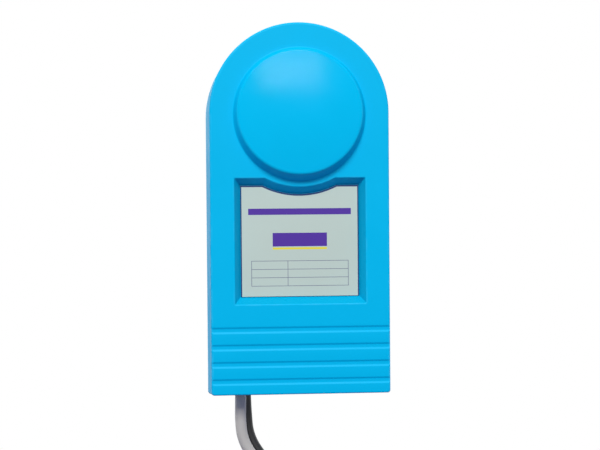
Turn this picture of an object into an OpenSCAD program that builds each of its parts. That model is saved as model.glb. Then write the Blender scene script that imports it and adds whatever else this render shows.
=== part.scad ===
// Wall-hung pool power controller: an arched, drafted cover over a chassis that
// carries a relay, a terminal block, an outlet in the underside and two mains leads.
// Millimetres. +Z is up, the front faces -Y, and the wall is the plane Y = 0.
// The origin lies on the wall, midway between the two keyholes, at the arch's centre.

/* [Housing] */
// Width of the front face, and twice the radius of its arch
face_w = 118; // [112:1:126]
// Height from the arch's centre down to the bottom edge
body_drop = 185; // [180:1:200]
// Depth from the wall to the front face
body_d = 65; // [62:1:72]
// Draft of the cover's sides, in degrees
draft = 1.5; // [0.5:0.1:2.5]
// Slope of the cover's lower edge, which rises towards the front, in degrees
foot_slope = 7; // [4:0.5:8]
// Radius of the cover's lower corners, less than the wall's thickness
corner_r = 2.5; // [1.5:0.25:2.5]
// Thickness of the cover's walls
cover_wall = 3; // [2.6:0.1:3.4]
// Thickness of the chassis's back plate
back_t = 4; // [3.6:0.1:5]
// Thickness of the chassis's bottom shelf
shelf_t = 3.5; // [3:0.1:4.5]
// Thickness of the seal between the cover and the back plate
gasket_t = 1; // [0.6:0.1:1.6]
// Clearance between parts that slot together
fit_gap = 0.3; // [0.2:0.05:0.4]

/* [Dome] */
// Radius of the raised dome at its foot
dome_r = 43.4; // [40:0.2:45]
// Height of the dome's rim above the face, midway up
dome_h = 5.4; // [4:0.2:7]
// Lean of the dome's side wall, in degrees
dome_slope = 24; // [15:1:30]
// Upward tilt of the dome, in degrees
dome_tilt = 3.5; // [0:0.5:4]
// Rise of the dome's crown over its rim
dome_rise = 2.8; // [1.5:0.1:4]

/* [Label recess] */
// Width of the recess at the face
recess_w = 86.6; // [80:0.2:90]
// Height of the recess at the face
recess_h = 83; // [76:1:90]
// Drop of the recess's top edge below the arch's centre
recess_top = 42.8; // [41:0.2:46]
// Depth of the recess
recess_depth = 6.3; // [4.5:0.1:7]
// Inward run of the recess's two side walls
recess_side_run = 3.9; // [2.5:0.1:5]
// Inward run of the recess's top and bottom walls
recess_end_run = 4.6; // [3:0.1:5.5]
// Radius of the arc that dips into the recess's top edge
recess_arc_r = 48.6; // [46.6:0.2:51]
// Thickness of the wall behind the recess
tray_wall = 2.6; // [2:0.1:3.2]
// Thickness of the label plate
label_t = 0.8; // [0.5:0.1:1.2]
// Clearance round the label plate
label_gap = 0.25; // [0.1:0.05:0.5]

/* [Grooves] */
// Number of grooves across the lower face
groove_count = 4; // [2:1:4]
// Height of the lowest groove's upper flank above the bottom edge
groove_first = 10.1; // [8:0.1:12]
// Spacing of the grooves
groove_pitch = 11.3; // [9:0.1:12]
// Depth of a groove
groove_depth = 0.8; // [0.5:0.1:1.2]
// Width of a groove, between the middles of its flanks
groove_w = 3.2; // [2:0.1:4]
// Height of a groove's sloping flanks
groove_flank = 0.6; // [0.3:0.1:1]

/* [Fixings] */
// Radius of the cover screws' shanks
screw_r = 1.5; // [1.3:0.05:1.7]
// Length of the cover screws under the head
screw_len = 14; // [10:1:18]
// Radius of the cover screws' heads
screw_head_r = 3.2; // [2.8:0.1:3.5]
// Height of the cover screws' heads
screw_head_h = 2; // [1.6:0.1:2.2]
// Clearance of a screw in the hole it bites into
thread_gap = 0.06; // [0.04:0.01:0.1]
// Radius of the cover's screw bosses
boss_r = 4.5; // [4:0.1:5]
// Height of the lowest bosses above the bottom edge
boss_low = 50; // [46:1:56]
// Drop of the middle bosses below the arch's centre
boss_mid = 50; // [44:1:60]
// Angle of the upper bosses above the arch's centre
boss_angle = 38; // [34:1:48]
// Spacing of the two keyholes
keyhole_pitch = 60; // [50:1:70]
// Radius of a keyhole's entry
keyhole_r = 4.5; // [4:0.1:5]
// Radius of a keyhole's slot
keyhole_slot_r = 2.3; // [2:0.1:2.8]
// Rise of a keyhole's slot above its entry
keyhole_rise = 9; // [7:0.5:12]
// Radius of the shanks of the small inner screws
small_screw_r = 1.3; // [1.1:0.05:1.5]
// Radius of the heads of the small inner screws
small_head_r = 2.6; // [2.3:0.1:3]
// Height of the heads of the small inner screws
small_head_h = 1.6; // [1.2:0.1:2]
// Height of the pads that carry the inner parts
pad_h = 3; // [2:0.1:4]
// Radius of the pads that carry the inner parts
pad_r = 4.2; // [3.6:0.1:4.6]

/* [Outlet] */
// Place of the outlet to the right of the middle
outlet_x = 22; // [18:1:26]
// Distance of the outlet from the wall
outlet_d = 33; // [31:1:35]
// Radius of the outlet's round body
outlet_r = 18.5; // [17.5:0.1:19.5]
// Height of the outlet's body above the bottom edge
outlet_h = 20; // [19:0.5:24]
// Thickness of the outlet's inner flange
outlet_flange_t = 3; // [2.5:0.1:4]
// Width by which the flange overlaps the shelf
outlet_flange_lap = 3.5; // [2.5:0.1:4.5]
// Spacing of the outlet's two screws
outlet_screw_pitch = 51; // [50:1:53]
// Thickness of the outlet's face over its contacts
outlet_face_t = 3; // [2.5:0.1:4]
// Thickness of the cap over the outlet's contacts
outlet_cap_t = 3; // [2.5:0.1:4]
// Wall round a screw in the outlet's flange
outlet_ear_wall = 2; // [1.5:0.1:2.5]
// Room at each end of a contact in its pocket
pocket_room = 1; // [0.8:0.1:1.2]
// Thickness of the contact brass
contact_t = 0.8; // [0.6:0.1:1]
// Length of a contact's gripping legs
contact_leg = 11; // [9:0.5:12.5]
// Height of a contact's tail above the cap
contact_tail = 6; // [4:0.5:8]

/* [Plug pins] */
// Distance of the two live pins from the centre
pin_ring = 7.92; // [7.8:0.02:8]
// Distance of the earth pin from the centre
earth_ring = 10.3; // [10.2:0.02:10.4]
// Width of a pin
pin_w = 6.35; // [6.2:0.05:6.5]
// Thickness of a pin
pin_t = 1.6; // [1.5:0.05:1.7]
// Length of the two live pins
pin_len = 17; // [16:0.5:18]
// Length of the earth pin
earth_len = 20; // [19:0.5:21]
// Depth of a pin's root in its plug
pin_root = 6; // [5:0.5:8]
// Clearance of a pin in a socket's slot
slot_gap = 0.3; // [0.2:0.05:0.45]
// Clearance of a metal part in the moulding that holds it
seat_gap = 0.08; // [0.05:0.01:0.12]

/* [Leads] */
// Diameter of both mains leads
lead_d = 7.4; // [7:0.1:7.6]
// Distance of the supply lead from the left edge of the face
supply_in = 19.5; // [18:0.5:21]
// Distance of the supply lead from the front face
supply_back = 19; // [18:0.5:20]
// Distance of the timer lead from the left edge of the face
timer_in = 23.5; // [22:0.5:25]
// Distance of the timer lead from the wall
timer_d = 24; // [23:0.5:25]
// Wall of the grommet round a lead
gland_wall = 2.2; // [1.8:0.1:2.6]
// Width of a grommet's lips
gland_lip = 1.2; // [0.8:0.1:1.6]
// Thickness of a grommet's lips
gland_lip_t = 1.2; // [0.8:0.1:1.4]
// Height of a grommet's tapered grip above the shelf
gland_grip = 18; // [15:0.5:20]
// Wall of a grommet at the tip of its grip
gland_tip = 1; // [0.8:0.1:1.4]
// Length of lead sheath above the grommet
sheath_end = 5; // [3:0.5:8]
// Outer radius of a coil, at the middle of its cord
coil_r = 53; // [52:0.5:56]
// Step from one turn or layer of a coil to the next
coil_step = 8; // [8:0.1:8.2]
// Drop of the coils' centres below the bottom edge
coil_drop = 108; // [107:0.5:110]
// Width of the strap that ties a coil
tie_w = 9; // [7:0.5:12]
// Thickness of the strap that ties a coil
tie_t = 1.4; // [1:0.1:2]
// Clearance of the strap round the coil
tie_gap = 0.4; // [0.3:0.05:0.6]
// Straight tail between the supply coil and its plug
supply_tail = 14; // [10:1:20]
// Straight tail between the timer coil and its plug
timer_tail = 36; // [32:1:44]

/* [Plugs] */
// Radius of the plug's body
plug_r = 18; // [17:0.1:19]
// Half the thickness of the plug's body between its flats
plug_flat = 12; // [11.5:0.1:12.4]
// Length of the plug's body
plug_len = 26; // [22:0.5:30]
// Radius of the piggyback plug's body
piggy_r = 16.5; // [16:0.1:17]
// Length of the piggyback plug's body
piggy_len = 32; // [30:0.5:36]
// Length of the strain relief on a plug
boot_len = 24; // [20:1:30]
// Radius of the strain relief where it meets the plug
boot_r = 8; // [7:0.1:9]
// Wall of the strain relief at its tip
boot_wall = 1.6; // [1.2:0.1:2.2]

/* [Relay] */
// Place of the relay below the arch's centre
relay_drop = 55; // [53:0.5:58]
// Thickness of the relay's base
relay_base_t = 4; // [3.5:0.1:5]
// Half the width of the relay's base
relay_half_w = 23.5; // [22.5:0.5:25]
// Radius of the relay's iron core
core_r = 4; // [3.5:0.1:4.5]
// Height of the core's pole face above the base
pole_h = 25.5; // [24:0.1:27]
// Radius of the core's pole face
pole_r = 5.5; // [5:0.1:6]
// Outer radius of the relay's winding
winding_r = 9.8; // [9:0.1:10.2]
// Thickness of the bobbin's walls
bobbin_t = 1.1; // [0.8:0.1:1.4]
// Gap between pole face and armature when released
armature_gap = 1.6; // [1.6:0.05:1.9]
// Thickness of the armature
armature_t = 1.6; // [1.4:0.1:2]
// Swing of the armature as it closes, in degrees
armature_swing = 4.8; // [4:0.1:4.8]
// Thickness of the yoke's iron
yoke_t = 2; // [1.6:0.1:2.4]
// Width of the yoke
yoke_w = 16; // [15:0.5:18]
// Radius of the armature's hinge pin
hinge_r = 1; // [0.8:0.05:1.2]
// Radial clearance of the armature on its hinge pin
hinge_gap = 0.05; // [0.02:0.01:0.09]
// Reach of the contacts past the bobbin
contact_reach = 6.1; // [5.5:0.1:7]
// Radius of the silver contacts
silver_r = 1.7; // [1.4:0.1:2]
// Height of a silver contact
silver_h = 1.4; // [1.2:0.1:1.6]
// Thickness of the clear cover
relay_cover_t = 1.2; // [1:0.1:1.6]
// Length of the spade tabs below the relay's base
tab_len = 10; // [8:0.5:12]
// Width of a spade tab
tab_w = 6.3; // [6:0.1:6.5]
// Thickness of a spade tab
tab_t = 0.8; // [0.6:0.1:1]
// Number of turns in the return spring
spring_turns = 10; // [8:1:12]
// Radius of the return spring's wire
spring_wire_r = 0.35; // [0.3:0.05:0.45]

/* [Terminal block] */
// Place of the terminal block, from the middle
block_x = -2; // [-3:0.5:-1]
// Drop of the terminal block below the arch's centre
block_drop = 131; // [130:0.5:132]
// Length of the terminal block along its wires
block_len = 20; // [18:0.5:21]
// Depth of the terminal block
block_d = 14; // [13:0.5:16]
// Spacing of the terminal block's ways
way_pitch = 9; // [8.5:0.1:9.5]
// Length of the terminal block past its outer ways
block_tail = 11.5; // [10.5:0.5:13]
// Width of the bar that links two ways
link_w = 4; // [3:0.1:5]
// Thickness of the bar that links two ways
link_t = 1.2; // [0.8:0.1:1.6]
// Radius of a brass sleeve
sleeve_r = 2.6; // [2.4:0.1:2.8]
// Wall of a brass sleeve
sleeve_wall = 0.9; // [0.7:0.1:1]
// Radius of a wire inside the housing
wire_r = 1.35; // [1.2:0.05:1.4]

/* [Hidden] */
$fn = 48;

// Colours
blue = [0.0, 0.62, 0.88];
label_grey = [0.75, 0.82, 0.78];
black = [0.09, 0.09, 0.10];
grey = [0.40, 0.41, 0.42];
ivory = [0.85, 0.82, 0.72];
steel = [0.72, 0.73, 0.75];
brass = [0.80, 0.64, 0.32];
copper = [0.72, 0.38, 0.20];
silver = [0.88, 0.88, 0.86];
clear = [0.85, 0.90, 0.92, 0.4];
wire_brown = [0.42, 0.22, 0.10];
wire_blue = [0.12, 0.32, 0.72];
wire_green = [0.30, 0.62, 0.20];

// A short overshoot for cuts that pass through a face
over = 1;

// Housing
face_r = face_w / 2;
bottom_z = -body_drop;
cover_back = back_t + gasket_t;
function half_at(d) = face_r + (body_d - d) * tan(draft);
back_r = half_at(cover_back);
// Lowest point of the sloped lower edge, at the wall
foot_z = bottom_z - body_d * tan(foot_slope);
boss_x = face_r - cover_wall - boss_r - 1.5;
boss_places = [for (side = [-1, 1]) each [
    [side * boss_x * cos(boss_angle), boss_x * sin(boss_angle)],
    [side * boss_x, -boss_mid],
    [side * boss_x, bottom_z + boss_low]]];
head_sink = 0.4;
screw_seat = head_sink + screw_head_h;
screw_tip = screw_seat + screw_len;

// Dome
dome_lean = tan(dome_slope);
dome_rim_r = dome_r - dome_h * dome_lean;
dome_ball_r = (dome_rim_r * dome_rim_r + dome_rise * dome_rise) / (2 * dome_rise);

// Label recess
floor_d = body_d - recess_depth;
floor_half_w = recess_w / 2 - recess_side_run;
floor_top = -recess_top - recess_end_run;
floor_low = -recess_top - recess_h + recess_end_run;

// Grooves
groove_top = groove_flank / 2;
groove_low = -groove_w - groove_flank / 2;

// Outlet
slot_w = pin_w + 2 * slot_gap;
slot_t = pin_t + 2 * slot_gap;
contact_gap = pin_t - 0.1;
clip_t = contact_gap + 2 * contact_t;
outlet_top = bottom_z + outlet_h;
tail_top = outlet_top + outlet_cap_t + contact_tail;
active_turn = -30;
neutral_turn = 210;
earth_turn = 90;
function ring_place(ring, turn) = [outlet_x + ring * cos(turn), -outlet_d + ring * sin(turn)];

// Leads
lead_r = lead_d / 2;
supply_x = supply_in - face_r;
supply_d = body_d - supply_back;
timer_x = timer_in - face_r;
shelf_top = bottom_z + shelf_t;
gland_r = lead_r + gland_wall;
sheath_top = shelf_top + gland_grip + sheath_end;
coil_z = bottom_z - coil_drop;
// Clock angle, from the top, at which a lead joins the outer turn of its coil
join_angle = 33;
// Whole turn of a coil, so that it ends at three o'clock and leaves downwards
coil_sweep = 90 - join_angle + 5 * 360;
rings_per_turn = 24;
// Routes from the grommets down to the coils: sideways, away from the wall, and height
supply_route = [[0, 0, sheath_top], [0, 0, -176], [0, 0, -186], [-0.1, 0, -195], [-0.1, -1, -203.5],
    [0.8, -1.8, -213.6], [3.7, -2.5, -222.1], [8.8, -3.2, -230]];
timer_route = [[0, 0, sheath_top], [0, 0, -176], [0, 0, -186], [0.3, 0, -194], [0.7, 1.2, -203],
    [1.7, 2.5, -213.8], [4.7, 3.3, -222.6], [10.1, 3.8, -231.1]];

// Relay
relay_z = -relay_drop;
relay_floor_d = back_t + pad_h + relay_base_t;
bobbin_r = winding_r + 0.6;
yoke_in = -bobbin_r - 2 * fit_gap;
hinge_v = yoke_in - yoke_t / 2;
arm_low = pole_h + armature_gap;
arm_high = arm_low + armature_t;
hinge_w = arm_high + 0.3;
barrel_r = hinge_r + 1;
lug_low = hinge_w - barrel_r - 0.5;
lug_t = 2;
contact_v = bobbin_r + contact_reach;
silver_drop = (contact_v - hinge_v + silver_r) * sin(armature_swing);
fixed_top = arm_high - silver_h - silver_drop - fit_gap / 2;
blade_t = 0.4;
spring_v = hinge_v - 4;
spring_r = 1.5;
tail_half_t = 0.7;
base_low = hinge_v - 9;
base_high = contact_v + 7.5;
ear_len = 9;
ear_w = 11;
ear_places = [base_low - ear_len / 2, base_high + ear_len / 2];
tab_places = [-19, -11, 11, 19];
tab_end = base_low - tab_len;
tab_root = 6;
relay_room = hinge_w + barrel_r + 2;

// Terminal block
block_z = -block_drop;
block_back = back_t + pad_h;
block_axis_d = block_back + block_d / 2;
way_heights = [for (i = [1, 0, -1]) block_z + i * way_pitch];
block_end = way_pitch + block_tail;
block_fix = block_end - 3.5;
sleeve_len = block_len - 2;
clamp_reach = block_len / 4;

// Directions, splines and swept tubes
function unit(v) = v / norm(v);
function heading(p, i) = unit(p[min(i + 1, len(p) - 1)] - p[max(i - 1, 0)]);
function square_to(t) = unit(cross(t, abs(t.z) < 0.9 ? [0, 0, 1] : [0, 1, 0]));
function carried(n, t) = unit(n - (n * t) * t);
function sides_of(p) = [for (
    i = 0, n = square_to(heading(p, 0));
    i < len(p);
    n = i + 1 < len(p) ? carried(n, heading(p, i + 1)) : n, i = i + 1) n];
function between(a, b, c, d, t) = 0.5 * (2 * b + (c - a) * t + (2 * a - 5 * b + 4 * c - d) * t * t
    + (3 * b - a - 3 * c + d) * t * t * t);
function spline(p, steps) = [
    for (i = [0 : len(p) - 2], s = [0 : steps - 1])
        between(p[max(i - 1, 0)], p[i], p[i + 1], p[min(i + 2, len(p) - 1)], s / steps),
    p[len(p) - 1]];
// A spline whose first and last stretches stay straight, so that its ends are square
function routed(p, steps) = let (q = spline(p, steps), last = len(q) - 1)
    [for (i = [0 : last]) if ((i == 0 || i >= steps) && (i == last || i <= last - steps)) q[i]];
function length_of(p) = len(p) < 2 ? 0 : [for (i = [1 : len(p) - 1]) norm(p[i] - p[i - 1])]
    * [for (i = [1 : len(p) - 1]) 1];

module tube(p, r, sides) {
    n = sides_of(p);
    points = [for (i = [0 : len(p) - 1], k = [0 : sides - 1])
        let (turn = 360 * k / sides, b = cross(heading(p, i), n[i]))
        p[i] + r * (cos(turn) * n[i] + sin(turn) * b)];
    last = (len(p) - 1) * sides;
    walls = [for (i = [0 : len(p) - 2], k = [0 : sides - 1])
        let (a = i * sides + k, b = i * sides + (k + 1) % sides)
        each [[a, a + sides, b + sides], [a, b + sides, b]]];
    ends = [for (k = [1 : sides - 2])
        each [[0, k, k + 1], [last, last + k + 1, last + k]]];
    polyhedron(points, concat(walls, ends));
}

// Coils: a spiral in on one layer and out again on the other
function coil_radius(turn) = coil_r - coil_step * (coil_sweep / 2 - abs(turn - coil_sweep / 2)) / 360;
function climb(turn) = min(1, max(0, (turn - coil_sweep / 2 + 90) / 180));
function eased(t) = t * t * (3 - 2 * t);
function coil_point(x, d, side, turn) =
    let (clock = join_angle + turn, r = coil_radius(turn))
    [x + r * sin(clock), -d - side * coil_step * (0.5 - eased(climb(turn))), coil_z + r * cos(clock)];
coil_rings = ceil(coil_sweep * rings_per_turn / 360);
function coil_turns(x, d, side) = [for (i = [0 : coil_rings])
    coil_point(x, d, side, coil_sweep * i / coil_rings)];
function coil_start(x, d, side) = let (p = coil_turns(x, d, side)) p[0] - lead_d * unit(p[1] - p[0]);
function coil_finish(x, d, side) = coil_point(x, d, side, coil_sweep) - [0, 0, lead_d];
function coil_path(x, d, side) = [
    coil_start(x, d, side), each coil_turns(x, d, side), coil_finish(x, d, side)];
function lead_path(route, x, d, side) =
    let (p = coil_turns(x, d, side), back = lead_d * unit(p[1] - p[0]))
    routed([for (q = route) [x + q[0], -d - q[1], q[2]], p[0] - 2 * back, p[0] - back], 2);
function tail_path(x, d, side, tail) = let (p = coil_finish(x, d, side))
    [p, p - [0, 0, tail / 2], p - [0, 0, tail]];
function near_turns(p, i) = [for (j = [i + rings_per_turn / 2 : len(p) - 1]) norm(p[i] - p[j])];
function own_gap(p) = min([for (i = [0 : len(p) - 1 - rings_per_turn / 2]) min(near_turns(p, i))])
    - lead_d;
function whole_lead(route, x, d, side, tail) = length_of(lead_path(route, x, d, side))
    + length_of(coil_path(x, d, side)) + tail;

echo(supply_coil_gap = own_gap(coil_turns(supply_x, supply_d, -1)));
echo(timer_coil_gap = own_gap(coil_turns(timer_x, timer_d, 1)));
echo(supply_lead_length = whole_lead(supply_route, supply_x, supply_d, -1, supply_tail));
echo(timer_lead_length = whole_lead(timer_route, timer_x, timer_d, 1, timer_tail));

// Shared shapes
// An arched slab between two distances from the wall, with its own radius at each
module arched(r0, r1, d0, d1, low) {
    rotate([90, 0, 0]) rotate_extrude(angle = 180) polygon([[0, d0], [r0, d0], [r1, d1], [0, d1]]);
    translate([0, 0, low]) linear_extrude(-low)
        polygon([[-r0, -d0], [r0, -d0], [r1, -d1], [-r1, -d1]]);
}

// All that lies outside the sloped lower edge and its rounded corners
module under_foot() {
    translate([-face_w, 0, 0]) rotate([90, 0, 90]) linear_extrude(2 * face_w) polygon([
        [over, foot_z - over * tan(foot_slope)], [over, foot_z - 2 * over],
        [-body_d - over, foot_z - 2 * over], [-body_d - over, bottom_z + over * tan(foot_slope)]]);
    for (side = [-1, 1])
        translate([side * half_at(0), 0, foot_z]) rotate([-foot_slope, 0, -side * draft]) rotate([90, 0, 0])
            translate([0, 0, -2 * over]) linear_extrude(body_d + 6 * over) difference() {
                translate([min(side * over, -side * corner_r), -over]) square(corner_r + over);
                translate([-side * corner_r, corner_r]) circle(corner_r);
            }
}

// A bar along Y, from one distance from the wall to another
module post(x, z, r, d0, d1) {
    translate([x, -d0, z]) rotate([90, 0, 0]) cylinder(h = d1 - d0, r = r);
}

// The slot across a screw's head
module driver_slot(r, depth) {
    translate([-2 * r, -0.4, -over]) cube([4 * r, 0.8, depth + over]);
}

// A small pan-head screw along Y, with its head towards the front
module small_screw(x, z, seat_d, tip_d) {
    post(x, z, small_screw_r, tip_d, seat_d + small_head_h / 2);
    translate([x, -seat_d - small_head_h, z]) rotate([-90, 0, 0]) difference() {
        cylinder(h = small_head_h, r = small_head_r);
        driver_slot(small_head_r, small_head_h / 2);
    }
}

// The four corners of a rectangle at one distance from the wall
function corners(half_w, low, high, d) = [
    [-half_w, -d, low], [half_w, -d, low], [half_w, -d, high], [-half_w, -d, high]];

module sloped_box(front, back) {
    polyhedron(concat(front, back), [[3, 2, 1, 0], [4, 5, 6, 7],
        [0, 1, 5, 4], [1, 2, 6, 5], [2, 3, 7, 6], [3, 0, 4, 7]]);
}

// Three flat blades in the pattern of the plug, each a width by a thickness
module blades(w, t, low, live_high, earth_high) {
    for (turn = [active_turn, neutral_turn])
        rotate([0, 0, turn]) translate([pin_ring - t / 2, -w / 2, low]) cube([t, w, live_high - low]);
    rotate([0, 0, earth_turn])
        translate([earth_ring - w / 2, -t / 2, low]) cube([w, t, earth_high - low]);
}

// Housing
module dome_form(inset) {
    side = inset / cos(dome_slope);
    low = -2 * cover_wall - over;
    high = dome_h + dome_rise + over;
    translate([0, -body_d, 0]) rotate([90 - dome_tilt, 0, 0]) intersection() {
        translate([0, 0, low]) cylinder(h = high - low, r1 = dome_r - side - low * dome_lean,
            r2 = dome_r - side - high * dome_lean);
        translate([0, 0, dome_h + dome_rise - dome_ball_r]) sphere(r = dome_ball_r - inset);
    }
}

module label_recess() {
    ahead = over / recess_depth;
    difference() {
        sloped_box(
            corners(recess_w / 2 + ahead * recess_side_run,
                -recess_top - recess_h - ahead * recess_end_run,
                -recess_top + ahead * recess_end_run, body_d + over),
            corners(floor_half_w, floor_low, floor_top, floor_d));
        translate([0, -floor_d + over, 0]) rotate([90, 0, 0]) cylinder(h = recess_depth + 3 * over,
            r1 = recess_arc_r + recess_end_run * (1 + ahead),
            r2 = recess_arc_r - 2 * ahead * recess_end_run);
    }
}

module recess_tray() {
    sloped_box(
        corners(recess_w / 2 + tray_wall, -recess_top - recess_h - tray_wall, -recess_top + tray_wall,
            body_d - cover_wall / 2),
        corners(floor_half_w + tray_wall, floor_low - tray_wall, floor_top + tray_wall,
            floor_d - tray_wall));
}

module grooves() {
    for (i = [0 : groove_count - 1]) translate([-face_w, 0, bottom_z + groove_first + i * groove_pitch])
        rotate([90, 0, 90]) linear_extrude(2 * face_w) polygon([
            [-body_d - over, groove_top], [-body_d, groove_top],
            [groove_depth - body_d, groove_top - groove_flank],
            [groove_depth - body_d, groove_low + groove_flank],
            [-body_d, groove_low], [-body_d - over, groove_low]]);
}

module front_cover() {
    color(blue) difference() {
        union() {
            difference() {
                arched(back_r, face_r, cover_back, body_d, foot_z);
                arched(half_at(cover_back - over) - cover_wall, half_at(body_d - cover_wall) - cover_wall,
                    cover_back - over, body_d - cover_wall, foot_z - over);
                under_foot();
            }
            intersection() {
                dome_form(0);
                translate([-face_w, -2 * body_d, -face_w])
                    cube([2 * face_w, body_d + cover_wall / 2, 2 * face_w]);
            }
            recess_tray();
            for (p = boss_places) post(p[0], p[1], boss_r, back_t, body_d - cover_wall / 2);
        }
        dome_form(cover_wall);
        label_recess();
        grooves();
        for (p = boss_places) post(p[0], p[1], screw_r + thread_gap, back_t - over, screw_tip + over);
    }
}

module chassis() {
    color(blue) difference() {
        union() {
            difference() {
                arched(back_r, back_r, 0, back_t, foot_z);
                under_foot();
            }
            shelf_plate();
            for (v = ear_places) post(0, relay_z + v, pad_r, back_t - over, back_t + pad_h);
            for (side = [-1, 1])
                post(block_x, block_z + side * block_fix, pad_r, back_t - over, block_back);
        }
        for (side = [-1, 1]) keyhole(side * keyhole_pitch / 2);
        for (p = boss_places) {
            post(p[0], p[1], screw_r + fit_gap, -over, back_t + over);
            post(p[0], p[1], screw_head_r + fit_gap, -over, screw_seat);
        }
        for (v = ear_places) pad_bore(0, relay_z + v);
        for (side = [-1, 1]) pad_bore(block_x, block_z + side * block_fix);
        translate([outlet_x, -outlet_d, bottom_z - over])
            cylinder(h = shelf_t + 2 * over, r = outlet_r + fit_gap);
        outlet_screw_places() {
            sunk_screw(fit_gap, shelf_t + over);
            translate([0, 0, -over]) cylinder(h = over + head_sink + 0.01, r = small_head_r + fit_gap);
        }
        lead_hole(supply_x, supply_d);
        lead_hole(timer_x, timer_d);
    }
}

module shelf_plate() {
    inset = cover_wall + fit_gap;
    front = body_d - inset;
    translate([0, 0, bottom_z]) linear_extrude(shelf_t) polygon([
        [inset - half_at(back_t), over - back_t], [half_at(back_t) - inset, over - back_t],
        [half_at(front) - inset, -front], [inset - half_at(front), -front]]);
}

module keyhole(x) {
    post(x, 0, keyhole_r, -over, back_t + over);
    post(x, keyhole_rise, keyhole_slot_r, -over, back_t + over);
    translate([x - keyhole_slot_r, -back_t - over, 0])
        cube([2 * keyhole_slot_r, back_t + 2 * over, keyhole_rise]);
}

module pad_bore(x, z) {
    post(x, z, small_screw_r + thread_gap, back_t / 2, back_t + pad_h + over);
}

module lead_hole(x, d) {
    translate([x, -d, bottom_z - over]) cylinder(h = shelf_t + 2 * over, r = gland_r + seat_gap);
}

module rim_gasket() {
    color(black) difference() {
        arched(back_r - fit_gap, back_r - fit_gap, back_t, cover_back, foot_z);
        arched(back_r - cover_wall + fit_gap, back_r - cover_wall + fit_gap, back_t - over,
            cover_back + over, foot_z - over);
        under_foot();
    }
}

module cover_screws() {
    color(steel) for (p = boss_places) {
        post(p[0], p[1], screw_r, screw_seat - screw_head_h / 2, screw_tip);
        translate([p[0], -head_sink, p[1]]) rotate([90, 0, 0]) difference() {
            cylinder(h = screw_head_h, r = screw_head_r);
            driver_slot(screw_head_r, screw_head_h / 2);
            rotate([0, 0, 90]) driver_slot(screw_head_r, screw_head_h / 2);
        }
    }
}

module label_plate() {
    color(label_grey) translate([0, -floor_d, 0]) rotate([90, 0, 0])
        linear_extrude(label_t) difference() {
            translate([label_gap - floor_half_w, floor_low + label_gap])
                square([2 * (floor_half_w - label_gap), floor_top - floor_low - 2 * label_gap]);
            circle(r = recess_arc_r + recess_end_run + label_gap);
        }
}

// Outlet
module outlet_screw_places() {
    for (side = [-1, 1])
        translate([outlet_x + side * outlet_screw_pitch / 2, -outlet_d, bottom_z]) children();
}

// A countersunk screw from below the shelf, or its hole when grown
module sunk_screw(grow, len) {
    head_h = small_head_r - small_screw_r;
    translate([0, 0, head_sink])
        cylinder(h = head_h, r1 = small_head_r + grow, r2 = small_screw_r + grow);
    translate([0, 0, head_sink + head_h / 2])
        cylinder(h = len - head_sink - head_h / 2, r = small_screw_r + grow);
}

module flange_outline() {
    circle(r = outlet_r + outlet_flange_lap);
    ear_r = small_head_r + outlet_ear_wall;
    square([outlet_screw_pitch, 2 * ear_r], center = true);
    for (side = [-1, 1]) translate([side * outlet_screw_pitch / 2, 0]) circle(r = ear_r);
}

module contact_pocket(ring, turn, along) {
    pocket_l = slot_w + 2 * pocket_room;
    pocket_t = clip_t + 2 * fit_gap;
    rotate([0, 0, turn]) translate([ring, 0, outlet_face_t])
        rotate([0, 0, along]) translate([-pocket_l / 2, -pocket_t / 2, 0])
            cube([pocket_l, pocket_t, outlet_h + over]);
}

module outlet_body() {
    color(black) translate([outlet_x, -outlet_d, bottom_z]) difference() {
        union() {
            cylinder(h = outlet_h, r = outlet_r);
            translate([0, 0, shelf_t]) linear_extrude(outlet_flange_t) flange_outline();
        }
        blades(slot_w, slot_t, -over, outlet_face_t + over, outlet_face_t + over);
        contact_pocket(pin_ring, active_turn, 90);
        contact_pocket(pin_ring, neutral_turn, 90);
        contact_pocket(earth_ring, earth_turn, 0);
        for (side = [-1, 1]) translate([side * outlet_screw_pitch / 2, 0, shelf_t - over])
            cylinder(h = outlet_flange_t + 2 * over, r = small_screw_r + thread_gap);
    }
}

module outlet_cap() {
    color(ivory) translate([outlet_x, -outlet_d, outlet_top]) difference() {
        cylinder(h = outlet_cap_t, r = outlet_r);
        blades(pin_w + 2 * seat_gap, contact_t + 2 * seat_gap, -over, outlet_cap_t + over,
            outlet_cap_t + over);
    }
}

// A springy clip with two legs, hung under the cap, and a tail that passes through it
module contact_clip(ring, turn, along) {
    color(brass) translate([outlet_x, -outlet_d, outlet_top]) rotate([0, 0, turn]) translate([ring, 0, 0])
        rotate([0, 0, along]) {
            translate([-pin_w / 2, -clip_t / 2, -contact_t]) cube([pin_w, clip_t, contact_t]);
            for (low = [-clip_t / 2, clip_t / 2 - contact_t])
                translate([-pin_w / 2, low, -contact_leg]) cube([pin_w, contact_t, contact_leg]);
            translate([-pin_w / 2, -contact_t / 2, -contact_t / 2])
                cube([pin_w, contact_t, contact_t / 2 + outlet_cap_t + contact_tail]);
        }
}

module outlet_active_contact() {
    contact_clip(pin_ring, active_turn, 90);
}

module outlet_neutral_contact() {
    contact_clip(pin_ring, neutral_turn, 90);
}

module outlet_earth_contact() {
    contact_clip(earth_ring, earth_turn, 0);
}

module outlet_screws() {
    color(steel) outlet_screw_places() difference() {
        sunk_screw(0, shelf_t + outlet_flange_t);
        translate([0, 0, head_sink]) driver_slot(small_head_r, small_head_h / 2);
    }
}

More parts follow.
